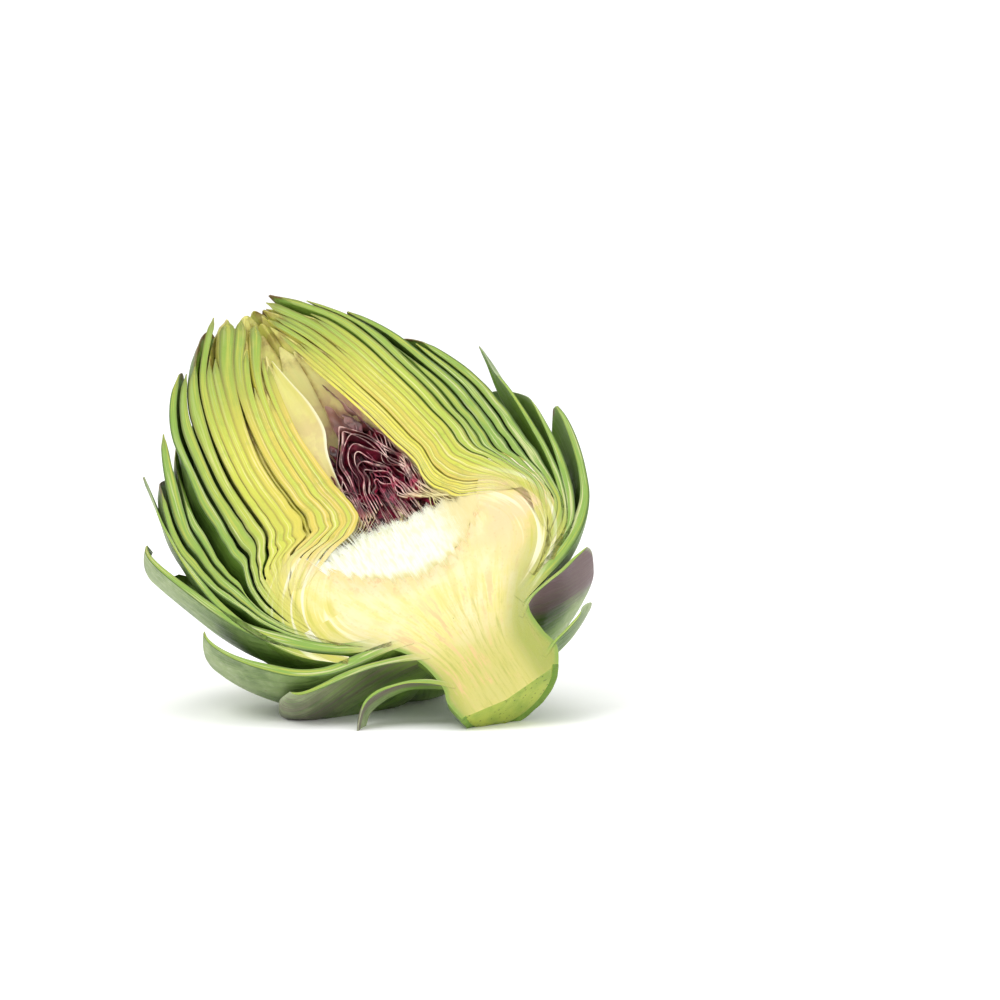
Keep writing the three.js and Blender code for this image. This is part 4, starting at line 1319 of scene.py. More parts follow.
    def curls(self) -> Shell:
        """The threads: each rises from the choke, bows outwards and hooks over at its end.

        Returns:
            The shell.
        """
        rng = np.random.default_rng(9)
        count = self.threads
        turn = rng.uniform(0.05, math.pi - 0.05, count)
        radius = 7.6 * np.sqrt(rng.uniform(0.02, 1, count))
        x, y = 1.2 + radius * np.cos(turn), np.maximum(radius * np.sin(turn), 0.4)
        foot = rng.uniform(17, 21, count)
        length = rng.uniform(4, 11, count) + 12 * (rng.random(count) < 0.35)
        share = np.linspace(0, 1, 8)[None]
        swing = rng.uniform(-1, 1, (count, 1)) * 2.4 * share**2
        hook = rng.uniform(-1.6, 1.6, (count, 1)) * smoothstep(0.65, 1, share)
        narrowing = 1 - 0.45 * share * (length / 23)[:, None]
        sway = rng.uniform(-0.6, 0.6, (count, 1)) * share
        sideways = 1.2 + (x[:, None] - 1.2) * narrowing + swing + hook
        depth = np.maximum(y[:, None] * narrowing + sway, self.least_depth + 0.15)
        height = foot[:, None] + length[:, None] * (share - 0.1 * smoothstep(0.7, 1, share))
        spine = vectors(sideways, depth, height)
        thick = rng.uniform(0.09, 0.17, (count, 1)) * (1 - 0.6 * share)
        leaf = vectors(rng.uniform(0, 1, count), rng.uniform(0, 1, count), np.arange(count) * 0.37)
        return hairs(spine, thick, 3, leaf=leaf, flush=rng.uniform(0, 1, count))

    def shell(self) -> Shell:
        """Every purple bract but the threads as one mesh.

        Returns:
            The shell.
        """
        shells = [self.leaf(n) for n in range(self.leaves)]
        shells += [self.leaflet(n) for n in range(self.leaflets)]
        shells += [self.arch(n) for n in range(self.arches)]
        for left, count in enumerate(reversed(self.ribbons)):
            shells += [self.ribbon(n, not left) for n in range(count)]
        return joined(shells)


# ------ shader nodes


def tone(hexed: str) -> tuple[float, float, float, float]:
    """Linear colour with full alpha from a web colour, by the standard curve of display values.

    Args:
        hexed: six digits such as "9db85a".

    Returns:
        Red, green, blue and alpha.
    """
    parts = [int(hexed[i : i + 2], 16) / 255 for i in (0, 2, 4)]
    linear = [p / 12.92 if p <= 0.04045 else ((p + 0.055) / 1.055) ** 2.4 for p in parts]
    return (linear[0], linear[1], linear[2], 1.0)


Socket = bpy.types.NodeSocket
Level = Socket | float
Shade = Socket | str


@dataclass
class Desk:
    """Lays out shader nodes in one tree and wires them.

    Attributes:
        tree: the tree that the nodes go into.
    """

    tree: bpy.types.NodeTree

    def node(self, kind: str, **settings: object) -> bpy.types.Node:
        """A new node of one of Blender's types, with its properties set."""
        made = self.tree.nodes.new(kind)
        for key, value in settings.items():
            setattr(made, key, value)
        return made

    def feed(self, socket: Socket, value: Level | Shade | tuple) -> None:
        """Wires a socket to another, or sets its own value.

        Args:
            socket: the input.
            value: an output, a number, a vector, or a web colour as text.
        """
        if isinstance(value, bpy.types.NodeSocket):
            self.tree.links.new(value, socket)
        else:
            socket.default_value = tone(value) if isinstance(value, str) else value

    def mark(self, name: str, part: str = "Fac") -> Socket:
        """A value that the mesh carries at its vertices."""
        return self.node("ShaderNodeAttribute", attribute_name=name).outputs[part]

    def parts(self, name: str) -> tuple[Socket, Socket, Socket]:
        """The three parts of a mark."""
        made = self.node("ShaderNodeSeparateXYZ")
        self.feed(made.inputs[0], self.mark(name, "Vector"))
        return made.outputs[0], made.outputs[1], made.outputs[2]

    def combine(self, x: Level, y: Level, z: Level = 0.0) -> Socket:
        """A vector of three parts."""
        made = self.node("ShaderNodeCombineXYZ")
        for socket, value in zip(made.inputs, (x, y, z)):
            self.feed(socket, value)
        return made.outputs[0]

    def math(self, operation: str, a: Level, b: Level = 0.0) -> Socket:
        """One step of arithmetic.

        Args:
            operation: Blender's name of the step.
            a: first value.
            b: second value, where the step takes one.

        Returns:
            The result.
        """
        made = self.node("ShaderNodeMath", operation=operation)
        self.feed(made.inputs[0], a)
        self.feed(made.inputs[1], b)
        return made.outputs[0]

    def times(self, first: Level, *others: Level) -> Socket:
        """The product of all the values."""
        for value in others:
            first = self.math("MULTIPLY", first, value)
        return first

    def plus(self, a: Level, b: Level) -> Socket:
        """The sum of two values."""
        return self.math("ADD", a, b)

    def minus(self, a: Level, b: Level) -> Socket:
        """The first value less the second."""
        return self.math("SUBTRACT", a, b)

    def far(self, across: Socket, up: Socket) -> Socket:
        """How far a place is from the middle: the root of the sum of two squares."""
        return self.math("SQRT", self.plus(self.times(across, across), self.times(up, up)))

    def rise(
        self, value: Socket, low: Level, high: Level, to_low: float = 0.0, to_high: float = 1.0
    ) -> Socket:
        """Smooth rise or fall of a value's range onto another, held at both ends.

        Args:
            value: the value.
            low: where it starts. It falls instead where this is the higher one.
            high: where it ends.
            to_low: the result at low.
            to_high: the result at high.

        Returns:
            The eased value.
        """
        made = self.node("ShaderNodeMapRange", interpolation_type="SMOOTHSTEP")
        for socket, number in zip(made.inputs[:5], (value, low, high, to_low, to_high)):
            self.feed(socket, number)
        return made.outputs[0]

    def mix(self, share: Level, a: Shade, b: Shade) -> Socket:
        """Blend of two colours.

        Args:
            share: share of the second one.
            a: first colour.
            b: second colour.

        Returns:
            The colour.
        """
        made = self.node("ShaderNodeMix", data_type="RGBA")
        self.feed(made.inputs[0], share)
        self.feed(made.inputs[6], a)
        self.feed(made.inputs[7], b)
        return made.outputs[2]

    def coats(self, colour: Shade, *coats: tuple[Level, Shade]) -> Shade:
        """A colour with others laid over it in turn, each by its own share."""
        for share, over in coats:
            colour = self.mix(share, colour, over)
        return colour

    def stretched(self, vector: Socket, scale: Triple) -> Socket:
        """A vector with each part scaled.

        Args:
            vector: the vector.
            scale: the three factors.

        Returns:
            The scaled vector.
        """
        made = self.node("ShaderNodeMapping")
        self.feed(made.inputs["Vector"], vector)
        self.feed(made.inputs["Scale"], scale)
        return made.outputs[0]

    def noise(self, vector: Socket, scale: Level, detail: float = 2.0, roughness: float = 0.5) -> Socket:
        """Cloudy value around a half.

        Args:
            vector: the place.
            scale: swells to a unit of the place.
            detail: how many finer layers are added.
            roughness: how strong each finer layer is.

        Returns:
            The value.
        """
        made = self.node("ShaderNodeTexNoise")
        self.feed(made.inputs["Vector"], vector)
        self.feed(made.inputs["Scale"], scale)
        made.inputs["Detail"].default_value = detail
        made.inputs["Roughness"].default_value = roughness
        return made.outputs["Fac"]

    def cells(self, vector: Socket, scale: Level) -> Socket:
        """Distance to the nearest of scattered points.

        Args:
            vector: the place.
            scale: points to a unit of the place.

        Returns:
            The distance.
        """
        made = self.node("ShaderNodeTexVoronoi")
        self.feed(made.inputs["Vector"], vector)
        self.feed(made.inputs["Scale"], scale)
        return made.outputs["Distance"]

    def bump(self, height: Socket, strength: float, distance_mm: float) -> Socket:
        """A normal bent by a height.

        Args:
            height: the height.
            strength: share of the bend that is used.
            distance_mm: how high one whole step of the height is, in millimetres.

        Returns:
            The normal.
        """
        made = self.node("ShaderNodeBump")
        made.inputs["Strength"].default_value = strength
        made.inputs["Distance"].default_value = distance_mm * MM
        self.feed(made.inputs["Height"], height)
        return made.outputs[0]


def effect(
    name: str, inputs: dict[str, float], outputs: tuple[str, ...]
) -> tuple[bpy.types.NodeTree, Desk, dict[str, object]]:
    """Starts a shader node group with named sockets.

    Args:
        name: the group's name.
        inputs: number inputs with their usual values.
        outputs: number outputs.

    Returns:
        The group, a desk to lay out its nodes, and its input sockets by name with "out" for the end.
    """
    group = bpy.data.node_groups.new(name, "ShaderNodeTree")
    for key, value in inputs.items():
        socket = group.interface.new_socket(key, in_out="INPUT", socket_type="NodeSocketFloat")
        socket.default_value = value
    for key in outputs:
        group.interface.new_socket(key, in_out="OUTPUT", socket_type="NodeSocketFloat")
    desk = Desk(group)
    ports = {socket.name: socket for socket in desk.node("NodeGroupInput").outputs}
    ports["out"] = desk.node("NodeGroupOutput").inputs
    return group, desk, ports


def fibre_effect() -> bpy.types.NodeTree:
    """Fibres that run along a bract: noise far finer across the blade than along it.

    Returns:
        The group, with Fineness in, and Fibre and the wider Coarse (both 0 to 1) out.
    """
    group, desk, ports = effect("bract_fibres", {"Fineness": 1.0}, ("Fibre", "Coarse"))
    leaf = desk.mark("leaf", "Vector")
    fine = desk.noise(desk.stretched(leaf, (1.6, 0.05, 1)), ports["Fineness"], 3)
    coarse = desk.noise(desk.stretched(leaf, (0.42, 0.03, 1)), ports["Fineness"], 2)
    desk.feed(ports["out"]["Fibre"], desk.rise(fine, 0.3, 0.7))
    desk.feed(ports["out"]["Coarse"], desk.rise(coarse, 0.35, 0.65))
    return group


def patch_effect() -> bpy.types.NodeTree:
    """Cloudy patches over the head, for bloom, bruises and uneven colour.

    Returns:
        The group, with Size (patches a centimetre), Low and High in and Patch (0 to 1) out.
    """
    group, desk, ports = effect("tissue_patches", {"Size": 1.0, "Low": 0.4, "High": 0.6}, ("Patch",))
    cloud = desk.noise(desk.mark("place", "Vector"), ports["Size"], 4, 0.6)
    desk.feed(ports["out"]["Patch"], desk.rise(cloud, ports["Low"], ports["High"]))
    return group


def grain_effect() -> bpy.types.NodeTree:
    """Fine moist grain of cut tissue: small scattered dots and a fine roughness.

    Returns:
        The group, with Size (dots a centimetre) in and Dots and Height out.
    """
    group, desk, ports = effect("moist_grain", {"Size": 9.0}, ("Dots", "Height"))
    spot = desk.mark("place", "Vector")
    dots = desk.rise(desk.cells(spot, ports["Size"]), 0.1, 0.28, 1, 0)
    fine = desk.noise(spot, 55.0, 3, 0.6)
    desk.feed(ports["out"]["Dots"], dots)
    desk.feed(ports["out"]["Height"], desk.minus(fine, desk.times(dots, 0.3)))
    return group


@dataclass
class Effects:
    """The node groups that the materials share."""

    fibres: bpy.types.NodeTree = field(default_factory=fibre_effect)
    patches: bpy.types.NodeTree = field(default_factory=patch_effect)
    grain: bpy.types.NodeTree = field(default_factory=grain_effect)

    def cloud(self, desk: Desk, size: float, low: float, high: float) -> Socket:
        """Cloudy patches, so many to a centimetre; higher bounds leave fewer of them."""
        return self.put(desk, self.patches, Size=size, Low=low, High=high)["Patch"]

    def put(self, desk: Desk, group: bpy.types.NodeTree, **values: float) -> bpy.types.NodeOutputs:
        """Places a group in a material with its own values.

        Args:
            desk: the material's desk.
            group: the group.
            values: its inputs.

        Returns:
            Its outputs.
        """
        made = desk.node("ShaderNodeGroup", node_tree=group)
        for key, value in values.items():
            made.inputs[key].default_value = value
        return made.outputs


@dataclass(frozen=True)
class Gloss:
    """The even settings of a finish, set on the shader itself.

    Attributes:
        roughness: used where no node drives it.
        specular: specular level.
        scatter: weight of the light that spreads under the surface.
        scatter_mm: how far that light spreads, in millimetres.
    """

    roughness: float = 0.5
    specular: float = 0.4
    scatter: float = 0.0
    scatter_mm: float = 1.0


def dressed(name: str, gloss: Gloss) -> tuple[bpy.types.Material, Desk, bpy.types.NodeInputs]:
    """A new material with one Principled shader.

    Args:
        name: its name.
        gloss: its even settings.

    Returns:
        The material, its desk and the shader's inputs.
    """
    material = bpy.data.materials.new(name)
    material.use_nodes = True
    desk = Desk(material.node_tree)
    shader = material.node_tree.nodes["Principled BSDF"].inputs
    shader["Roughness"].default_value = gloss.roughness
    shader["Specular IOR Level"].default_value = gloss.specular
    shader["Subsurface Weight"].default_value = gloss.scatter
    shader["Subsurface Radius"].default_value = (1.0, 0.8, 0.35)
    shader["Subsurface Scale"].default_value = gloss.scatter_mm * MM
    return material, desk, shader


# ------ finishes


@dataclass(frozen=True)
class GreenSkin:
    """Leathery skin of the green bracts: fibres, grey bloom, paler margins, brown dry tips."""

    deep: str = "3b5a1a"
    light: str = "749638"
    bloom: str = "a6b18a"
    inner: str = "6f9036"
    base: str = "8aa548"
    dry: str = "6b4a26"
    purple: str = "6b515b"
    gloss: Gloss = Gloss(specular=0.35)

    def material(self, effects: Effects) -> bpy.types.Material:
        """Builds the material from the bracts' marks: green outside, paler inside, dry tips.

        Args:
            effects: the shared effects.

        Returns:
            The material.
        """
        material, desk, shader = dressed("green_skin", self.gloss)
        fibres = effects.put(desk, effects.fibres, Fineness=1.0)
        wide = effects.cloud(desk, 0.9, 0.35, 0.65)
        small = effects.cloud(desk, 5.0, 0.4, 0.7)
        layer, share, edge = desk.parts("growth")
        powder = desk.times(
            desk.rise(share, 0.25, 0.85),
            desk.rise(layer, 0.8, 1.04, 0.3, 0.95),
            desk.rise(wide, 0.0, 0.9, 0.45, 1.0),
            desk.rise(small, 0.0, 1.0, 0.7, 1.0),
        )
        outside = desk.coats(
            self.deep,
            (desk.times(wide, 0.75), self.light),
            (desk.times(fibres["Fibre"], 0.35), self.light),
            (desk.rise(share, 0.3, 0.02, 0.0, 0.7), self.base),
            (powder, self.bloom),
        )
        inside = desk.mix(desk.times(fibres["Coarse"], 0.4), self.inner, self.light)
        veins = desk.minus(desk.times(fibres["Fibre"], 0.35), 0.2)
        flush = desk.rise(desk.plus(desk.mark("flush"), veins), 0.2, 0.9, 0.0, 0.9)
        margin = desk.times(desk.rise(edge, 0.86, 0.99), desk.rise(share, 0.3, 0.6, 0.0, 0.55))
        end = desk.plus(desk.rise(share, 0.92, 1.0), desk.times(small, 0.25))
        tips = desk.times(desk.rise(end, 0.7, 1.1, 0.0, 0.9), desk.rise(edge, 0.8, 0.3, 0.3, 1.0))
        specks = effects.put(desk, effects.grain, Size=5.0)["Dots"]
        body = desk.coats(
            inside,
            (desk.rise(desk.mark("side"), 0.3, 0.7), outside),
            (flush, self.purple),
            (margin, self.bloom),
            (tips, self.dry),
            (desk.times(specks, desk.rise(small, 0.5, 1.0), 0.5), self.dry),
        )
        desk.feed(shader["Base Color"], body)
        desk.feed(shader["Roughness"], desk.rise(wide, 0.0, 1.0, 0.42, 0.6))
        height = desk.plus(fibres["Coarse"], desk.times(fibres["Fibre"], 0.5))
        desk.feed(shader["Normal"], desk.bump(height, 0.6, 0.25))
        return material


@dataclass(frozen=True)
class YellowSkin:
    """Thin satin skin of the inner bracts, cream at the roots and yellow-green towards the tips.

    The innermost one is paler, with a blush beside the purple bracts and a nearly white free margin, which
    is partly its own pale margin and partly a painted highlight along the edge. The stem's end face takes
    this finish too: green with dark dots.
    """

    cream: str = "e6d98c"
    yellow: str = "cfc95a"
    green: str = "8ea03c"
    dry: str = "8a7038"
    tan: str = "e0dc98"
    # partly the thin margin's own pale colour, partly a painted highlight along its edge
    margin: str = "f3f0cf"
    blush: str = "b27c74"
    stem: str = "a9b54a"
    stem_rim: str = "8ca23c"
    dots: str = "46561c"
    gloss: Gloss = Gloss(roughness=0.45, specular=0.4, scatter=0.25, scatter_mm=1.5)

    def material(self, effects: Effects) -> bpy.types.Material:
        """Builds the material from the growth marks, fibres and the height along the head.

        Args:
            effects: the shared effects.

        Returns:
            The material.
        """
        material, desk, shader = dressed("yellow_skin", self.gloss)
        fibres = effects.put(desk, effects.fibres, Fineness=1.3)
        patch = effects.cloud(desk, 2.2, 0.35, 0.7)
        layer, share, edge = desk.parts("growth")
        _, _, z = desk.parts("place")
        greener = desk.plus(desk.rise(layer, 0.2, 0.6, 0.0, 0.45), desk.rise(z, 5.5, 8.6, 0.0, 0.55))
        band = desk.times(desk.rise(z, 2.4, 3.6), desk.rise(z, 6.6, 4.9))
        blush = desk.times(band, desk.rise(layer, 0.13, 0.03), desk.rise(patch, 0.0, 0.8, 0.35, 0.9))
        grain = effects.put(desk, effects.grain, Size=8.0)
        under = desk.coats(self.stem, (patch, self.stem_rim), (desk.times(grain["Dots"], 0.75), self.dots))
        body = desk.coats(
            self.cream,
            (desk.rise(share, 0.05, 0.5), self.yellow),
            (desk.times(greener, 0.9), self.green),
            (desk.rise(layer, 0.16, 0.04, 0.0, 0.75), self.tan),
            (desk.times(fibres["Coarse"], 0.5), self.cream),
            (desk.times(desk.rise(share, 0.85, 1.0), patch), self.dry),
            (blush, self.blush),
            # nearly white free margin of the innermost bract: partly its own colour, partly a painted
            # highlight
            (desk.rise(edge, FREE_MARGIN - 0.16, FREE_MARGIN - 0.04, 0.0, 0.7), self.margin),
            (desk.rise(z, -2.9, -3.0), under),
        )
        desk.feed(shader["Base Color"], body)
        desk.feed(shader["Normal"], desk.bump(desk.plus(fibres["Coarse"], grain["Height"]), 0.4, 0.15))
        return material


@dataclass(frozen=True)
class CutTissue:
    """Moist cut tissue of the heart, stem and bracts, seen in the cut face.

    The heart is cream, with streaks that run up the stem and fan out into the bracts, and a tan line
    under the bowl. A bract's cut edge fades from the heart's colour into its own, with fine lines along
    it and a darker line of skin at each side.
    """

    cream: str = "f0e1b2"
    yellow: str = "e7d68a"
    bright: str = "e3d852"
    stem: str = "bdb854"
    stem_dark: str = "8f9c3a"
    tan: str = "dfbb84"
    pink: str = "f0cd9c"
    strip_in: str = "e0d64c"
    strip_mid: str = "c6cc46"
    strip_out: str = "82a640"
    strip_end: str = "7fa234"
    strip_dry: str = "6f6e2c"
    strip_tan: str = "d4b956"
    strip_lime: str = "b8c948"
    pale: str = "f6efc8"
    fine: str = "c2be48"
    skin_in: str = "b8ac42"
    skin_out: str = "435f18"
    rim: str = "86a040"
    dots: str = "a98d46"
    gloss: Gloss = Gloss(specular=0.5, scatter=0.3, scatter_mm=1.6)

    def flesh(self, desk: Desk, effects: Effects) -> Socket:
        """Colour of the heart and the pith.

        The flow number is x over a half-width that grows up the stem, so that it is even along each streak.

        Args:
            desk: the material's desk.
            effects: the shared effects.

        Returns:
            The colour.
        """
        wide = effects.cloud(desk, 0.75, 0.42, 0.62)
        small = effects.cloud(desk, 3.2, 0.5, 0.7)
        dots = effects.put(desk, effects.grain, Size=8.0)["Dots"]
        x, _, z = desk.parts("place")
        flow = desk.math("DIVIDE", x, desk.rise(z, -2.4, 1.6, 1.1, 3.6))
        streaks = desk.noise(desk.combine(desk.times(flow, 5.6), desk.times(z, 0.45)), 1.5, 6, 0.66)
        warm = desk.times(desk.rise(z, 0.4, -1.2), desk.rise(streaks, 0.5, 0.4), wide, 0.85)
        outside = desk.rise(desk.math("ABSOLUTE", flow), 0.6, 1.1)
        edge = desk.times(outside, desk.rise(z, 0.6, -1.4, 0.6, 1.4), 0.5)
        dark = desk.times(desk.rise(streaks, 0.5, 0.72), desk.rise(z, 0.2, -1.6, 0.0, 0.6))
        bowl = self.bowl_distance(desk, x, z)
        under = desk.times(desk.rise(bowl, 0.5, 0.08), desk.rise(small, 0.0, 0.6, 0.3, 0.8))
        right = desk.times(desk.rise(x, 0.4, 2.2), desk.rise(z, -0.8, 0.6))
        grown, shown = self.grown_in(desk, x, z)
        return desk.coats(
            self.cream,
            (desk.rise(streaks, 0.42, 0.62, 0.0, 0.7), self.yellow),
            (desk.times(wide, 0.35), self.bright),
            (desk.rise(desk.math("ABSOLUTE", x), 2.0, 3.6, 0.0, 0.85), self.bright),
            (desk.rise(z, -0.7, -2.4, 0.0, 0.8), self.stem),
            (warm, self.tan),
            (desk.math("MAXIMUM", dark, edge), self.stem_dark),
            (under, self.tan),
            (desk.times(right, wide, 0.95), self.pink),
            (desk.times(right, small, 0.2), self.tan),
            (desk.times(dots, 0.12), self.dots),
            (desk.times(shown, desk.rise(grown, 0.54, 0.66, 0.0, 0.8)), self.fine),
            (desk.times(shown, desk.rise(grown, 0.47, 0.36, 0.0, 0.9)), self.pale),
        )

    def grown_in(self, desk: Desk, x: Socket, z: Socket) -> tuple[Socket, Socket]:
        """Lines of the bracts' bases that run on inside the heart, side by side with its outline.

        The outline is near an ellipse; its number is 1 on the ellipse and 0 in the middle.

        Args:
            desk: the material's desk.
            x: centimetres across.
            z: centimetres up the head.

        Returns:
            A noise that is even along the lines, and how much of it shows.
        """
        across = desk.math("DIVIDE", desk.minus(x, 0.15), 3.7)
        up = desk.math("DIVIDE", desk.minus(z, 0.5), 2.3)
        out = desk.far(across, up)
        turned = desk.times(desk.math("ARCTAN2", up, across), 0.8)
        lines = desk.noise(desk.combine(desk.times(out, 21.0), turned), 1.0, 2)
        sides = desk.rise(desk.math("ABSOLUTE", x), 1.6, 2.8)
        return lines, desk.times(desk.rise(out, 0.5, 0.8), sides)

    def bowl_distance(self, desk: Desk, x: Socket, z: Socket) -> Socket:
        """Centimetres below the choke's bowl, which is near a circle of radius 2.2 about (0.05, 2.6)."""
        return desk.minus(desk.far(desk.minus(x, 0.05), desk.minus(z, 2.6)), 2.2)

    def strip(self, desk: Desk, effects: Effects, layer: Socket, share: Socket) -> Socket:
        """Colour of a bract's own cut edge, away from the heart.

        It goes by the layer, with a shade of each bract's own, and turns green and dry towards the tips.
        Fine lines run along it, and a line of skin down each side.

        Args:
            desk: the material's desk.
            effects: the shared effects.
            layer: the layer mark.
            share: the share of the bract's length.

        Returns:
            The colour.
        """
        side = desk.mark("side")
        _, length, number = desk.parts("leaf")
        _, _, z = desk.parts("place")
        fine = desk.noise(desk.combine(desk.times(side, 5.2), desk.times(length, 0.05), number), 1.0, 3)
        each = desk.math("SINE", desk.times(number, 0.171))
        tanned = desk.times(desk.rise(each, 0.1, 0.9, 0.0, 0.75), desk.rise(layer, 0.5, 0.3))
        smudge = desk.times(effects.cloud(desk, 1.3, 0.5, 0.68), desk.rise(layer, 0.55, 0.3, 0.0, 0.5))
        lush = desk.times(effects.cloud(desk, 2.6, 0.52, 0.7), 0.35)
        pale = desk.times(desk.rise(fine, 0.46, 0.36, 0.0, 0.5), desk.rise(z, 7.0, 4.5, 0.25, 1.0))
        outer, inner = desk.rise(side, 0.7, 0.97), desk.rise(side, 0.2, 0.02, 0.0, 0.6)
        skin = desk.times(desk.math("MAXIMUM", outer, inner), desk.rise(share, 0.04, 0.26, 0.15, 1.0))
        darker = desk.math("MAXIMUM", desk.rise(layer, 0.4, 0.75), desk.rise(z, 5.6, 8.2, 0.0, 0.75))
        return desk.coats(
            self.strip_in,
            (desk.rise(layer, 0.2, 0.55), self.strip_mid),
            (tanned, self.strip_tan),
            (desk.rise(each, -0.2, -0.9, 0.0, 0.7), self.strip_lime),
            (desk.rise(layer, 0.5, 0.75), self.strip_out),
            (desk.rise(z, 5.0, 8.0, 0.0, 0.9), self.strip_end),
            (desk.rise(share, 0.9, 1.0, 0.0, 0.7), self.strip_dry),
            (smudge, self.strip_tan),
            (lush, self.strip_end),
            (desk.rise(fine, 0.5, 0.66, 0.0, 0.6), self.fine),
            (pale, self.cream),
            (skin, desk.mix(darker, self.skin_in, self.skin_out)),
        )

    def material(self, effects: Effects) -> bpy.types.Material:
        """Builds the material: flesh at the bracts' roots, their own strips above, and the rind's rim.

        Args:
            effects: the shared effects.

        Returns:
            The material.
        """
        material, desk, shader = dressed("cut_tissue", self.gloss)
        layer, share, edge = desk.parts("growth")
        flesh = self.flesh(desk, effects)
        grown = desk.times(share, desk.rise(layer, 0.3, 0.9, 1.0, 1.15))
        body = desk.mix(desk.rise(grown, 0.03, 0.24), flesh, self.strip(desk, effects, layer, share))
        skin = desk.mix(desk.rise(desk.mark("side"), 0.0, 0.8), flesh, self.rim)
        body = desk.mix(desk.rise(edge, RIND - 0.6, RIND - 0.4), body, skin)
        grain = effects.put(desk, effects.grain, Size=9.0)
        coarse = effects.put(desk, effects.grain, Size=3.0)["Height"]
        desk.feed(shader["Base Color"], body)
        desk.feed(shader["Roughness"], desk.rise(grain["Height"], 0.2, 0.8, 0.3, 0.5))
        height = desk.plus(grain["Height"], desk.times(coarse, 2.0))
        desk.feed(shader["Normal"], desk.bump(height, 0.45, 0.15))
        return material


@dataclass(frozen=True)
class ChokeHair:
    """Soft white hair with painted shade between tufts, a little yellow at its root and to the bowl's right.
    """

    white: str = "f7f8ec"
    root: str = "e4da9c"
    # painted shade: the darker colour between tufts, where the hairs shade one another
    shade: str = "eaebd4"
    cream: str = "e9dda6"
    gloss: Gloss = Gloss(roughness=0.75, specular=0.15)

    def material(self) -> bpy.types.Material:
        """Builds the material: each hair its own tone from root to tip, with painted shade between the
        tufts.

        Returns:
            The material.
        """
        material, desk, shader = dressed("choke_hair", self.gloss)
        each, _, _ = desk.parts("leaf")
        spot = desk.mark("place", "Vector")
        # painted shade: a cloud of tufts, darker between them, mixed with each hair's own random tone
        tuft_shade = desk.noise(desk.stretched(spot, (1, 1, 0.35)), 9.0, 2)
        pale = desk.times(desk.rise(each, 0.0, 0.6, 0.4, 1.0), desk.rise(tuft_shade, 0.36, 0.54))
        x, _, _ = desk.parts("place")
        right = desk.rise(desk.plus(x, desk.times(each, 0.5)), 1.0, 1.9, 0.0, 0.85)
        root = desk.rise(desk.mark("side"), 0.2, 0.0, 0.0, 0.85)
        body = desk.coats(self.shade, (pale, self.white), (root, self.root), (right, self.cream))
        desk.feed(shader["Base Color"], body)
        return material


@dataclass(frozen=True)
class PurpleSkin:
    """Thin purple bracts: near-black maroon with crimson veins, pale pink cut edges and yellowish roots.

    The near black is partly their own deep maroon and partly painted shade of the deep cavity; bright
    crimson low in the cavity is a painted highlight.
    """

    # painted shade: near black, partly the bracts' own deep maroon and partly the shade deep in the cavity
    dark: str = "26060e"
    crimson: str = "8a1c36"
    # painted highlight: bright crimson laid where light reaches low into the cavity
    bright: str = "c02f58"
    pink: str = "e6c0b4"
    rose: str = "b0566c"
    root: str = "e2d59a"
    tip: str = "a98070"
    gloss: Gloss = Gloss(roughness=0.32, specular=0.6, scatter=0.1, scatter_mm=0.8)

    def material(self, effects: Effects) -> bpy.types.Material:
        """Builds the material: blotched and veined faces, a painted highlight of bright crimson low in the
        cavity, cut edges that are pale in places.

        Args:
            effects: the shared effects.

        Returns:
            The material.
        """
        material, desk, shader = dressed("purple_skin", self.gloss)
        fibres = effects.put(desk, effects.fibres, Fineness=2.4)
        patch = effects.cloud(desk, 4.0, 0.4, 0.72)
        _, _, edge = desk.parts("growth")
        x, _, z = desk.parts("place")
        # painted highlight: bright crimson in patches low in the cavity, just above the choke
        painted_highlight = desk.times(desk.rise(z, 3.6, 2.4), desk.rise(x, -0.9, 0.1), desk.rise(patch, 0.0, 0.7), 0.8)
        pale = desk.coats(self.pink, (patch, self.rose), (desk.rise(x, 0.9, 1.5, 0.0, 0.9), self.root))
        cloud = effects.cloud(desk, 2.2, 0.4, 0.6)
        cut_edge = desk.times(desk.rise(edge, 0.35, 0.95), desk.rise(cloud, 0.0, 1.0, 0.12, 0.9))
        body = desk.coats(
            # near-black base: partly own maroon, partly painted shade of the cavity
            self.dark,
            (desk.times(patch, 0.8), self.crimson),
            (desk.times(fibres["Fibre"], 0.3), self.crimson),
            (painted_highlight, self.bright),
            (cut_edge, pale),
            (desk.rise(z, 4.2, 5.6, 0.0, 0.75), self.tip),
            (desk.times(desk.rise(z, 2.6, 2.0), desk.rise(edge, 0.0, 0.3)), self.root),
        )
        desk.feed(shader["Base Color"], body)
        desk.feed(shader["Normal"], desk.bump(fibres["Fibre"], 0.4, 0.1))
        return material


@dataclass(frozen=True)
class PurpleThread:
    """Curly threads, pink to deep crimson, pale at the root."""

    deep: str = "5a1428"
    pink: str = "b4667a"
    pale: str = "e3c9b8"
    gloss: Gloss = Gloss(roughness=0.45, specular=0.4)

    def material(self) -> bpy.types.Material:
        """Builds the material: each thread its own shade, from root to tip.

        Returns:
            The material.
        """
        material, desk, shader = dressed("purple_thread", self.gloss)
        hue = desk.mix(desk.rise(desk.mark("flush"), 0.2, 1.0), self.deep, self.pink)
        root = desk.rise(desk.mark("side"), 0.5, 0.0, 0.0, 0.9)
        desk.feed(shader["Base Color"], desk.mix(root, hue, self.pale))
        return material


# ------ sub-assemblies


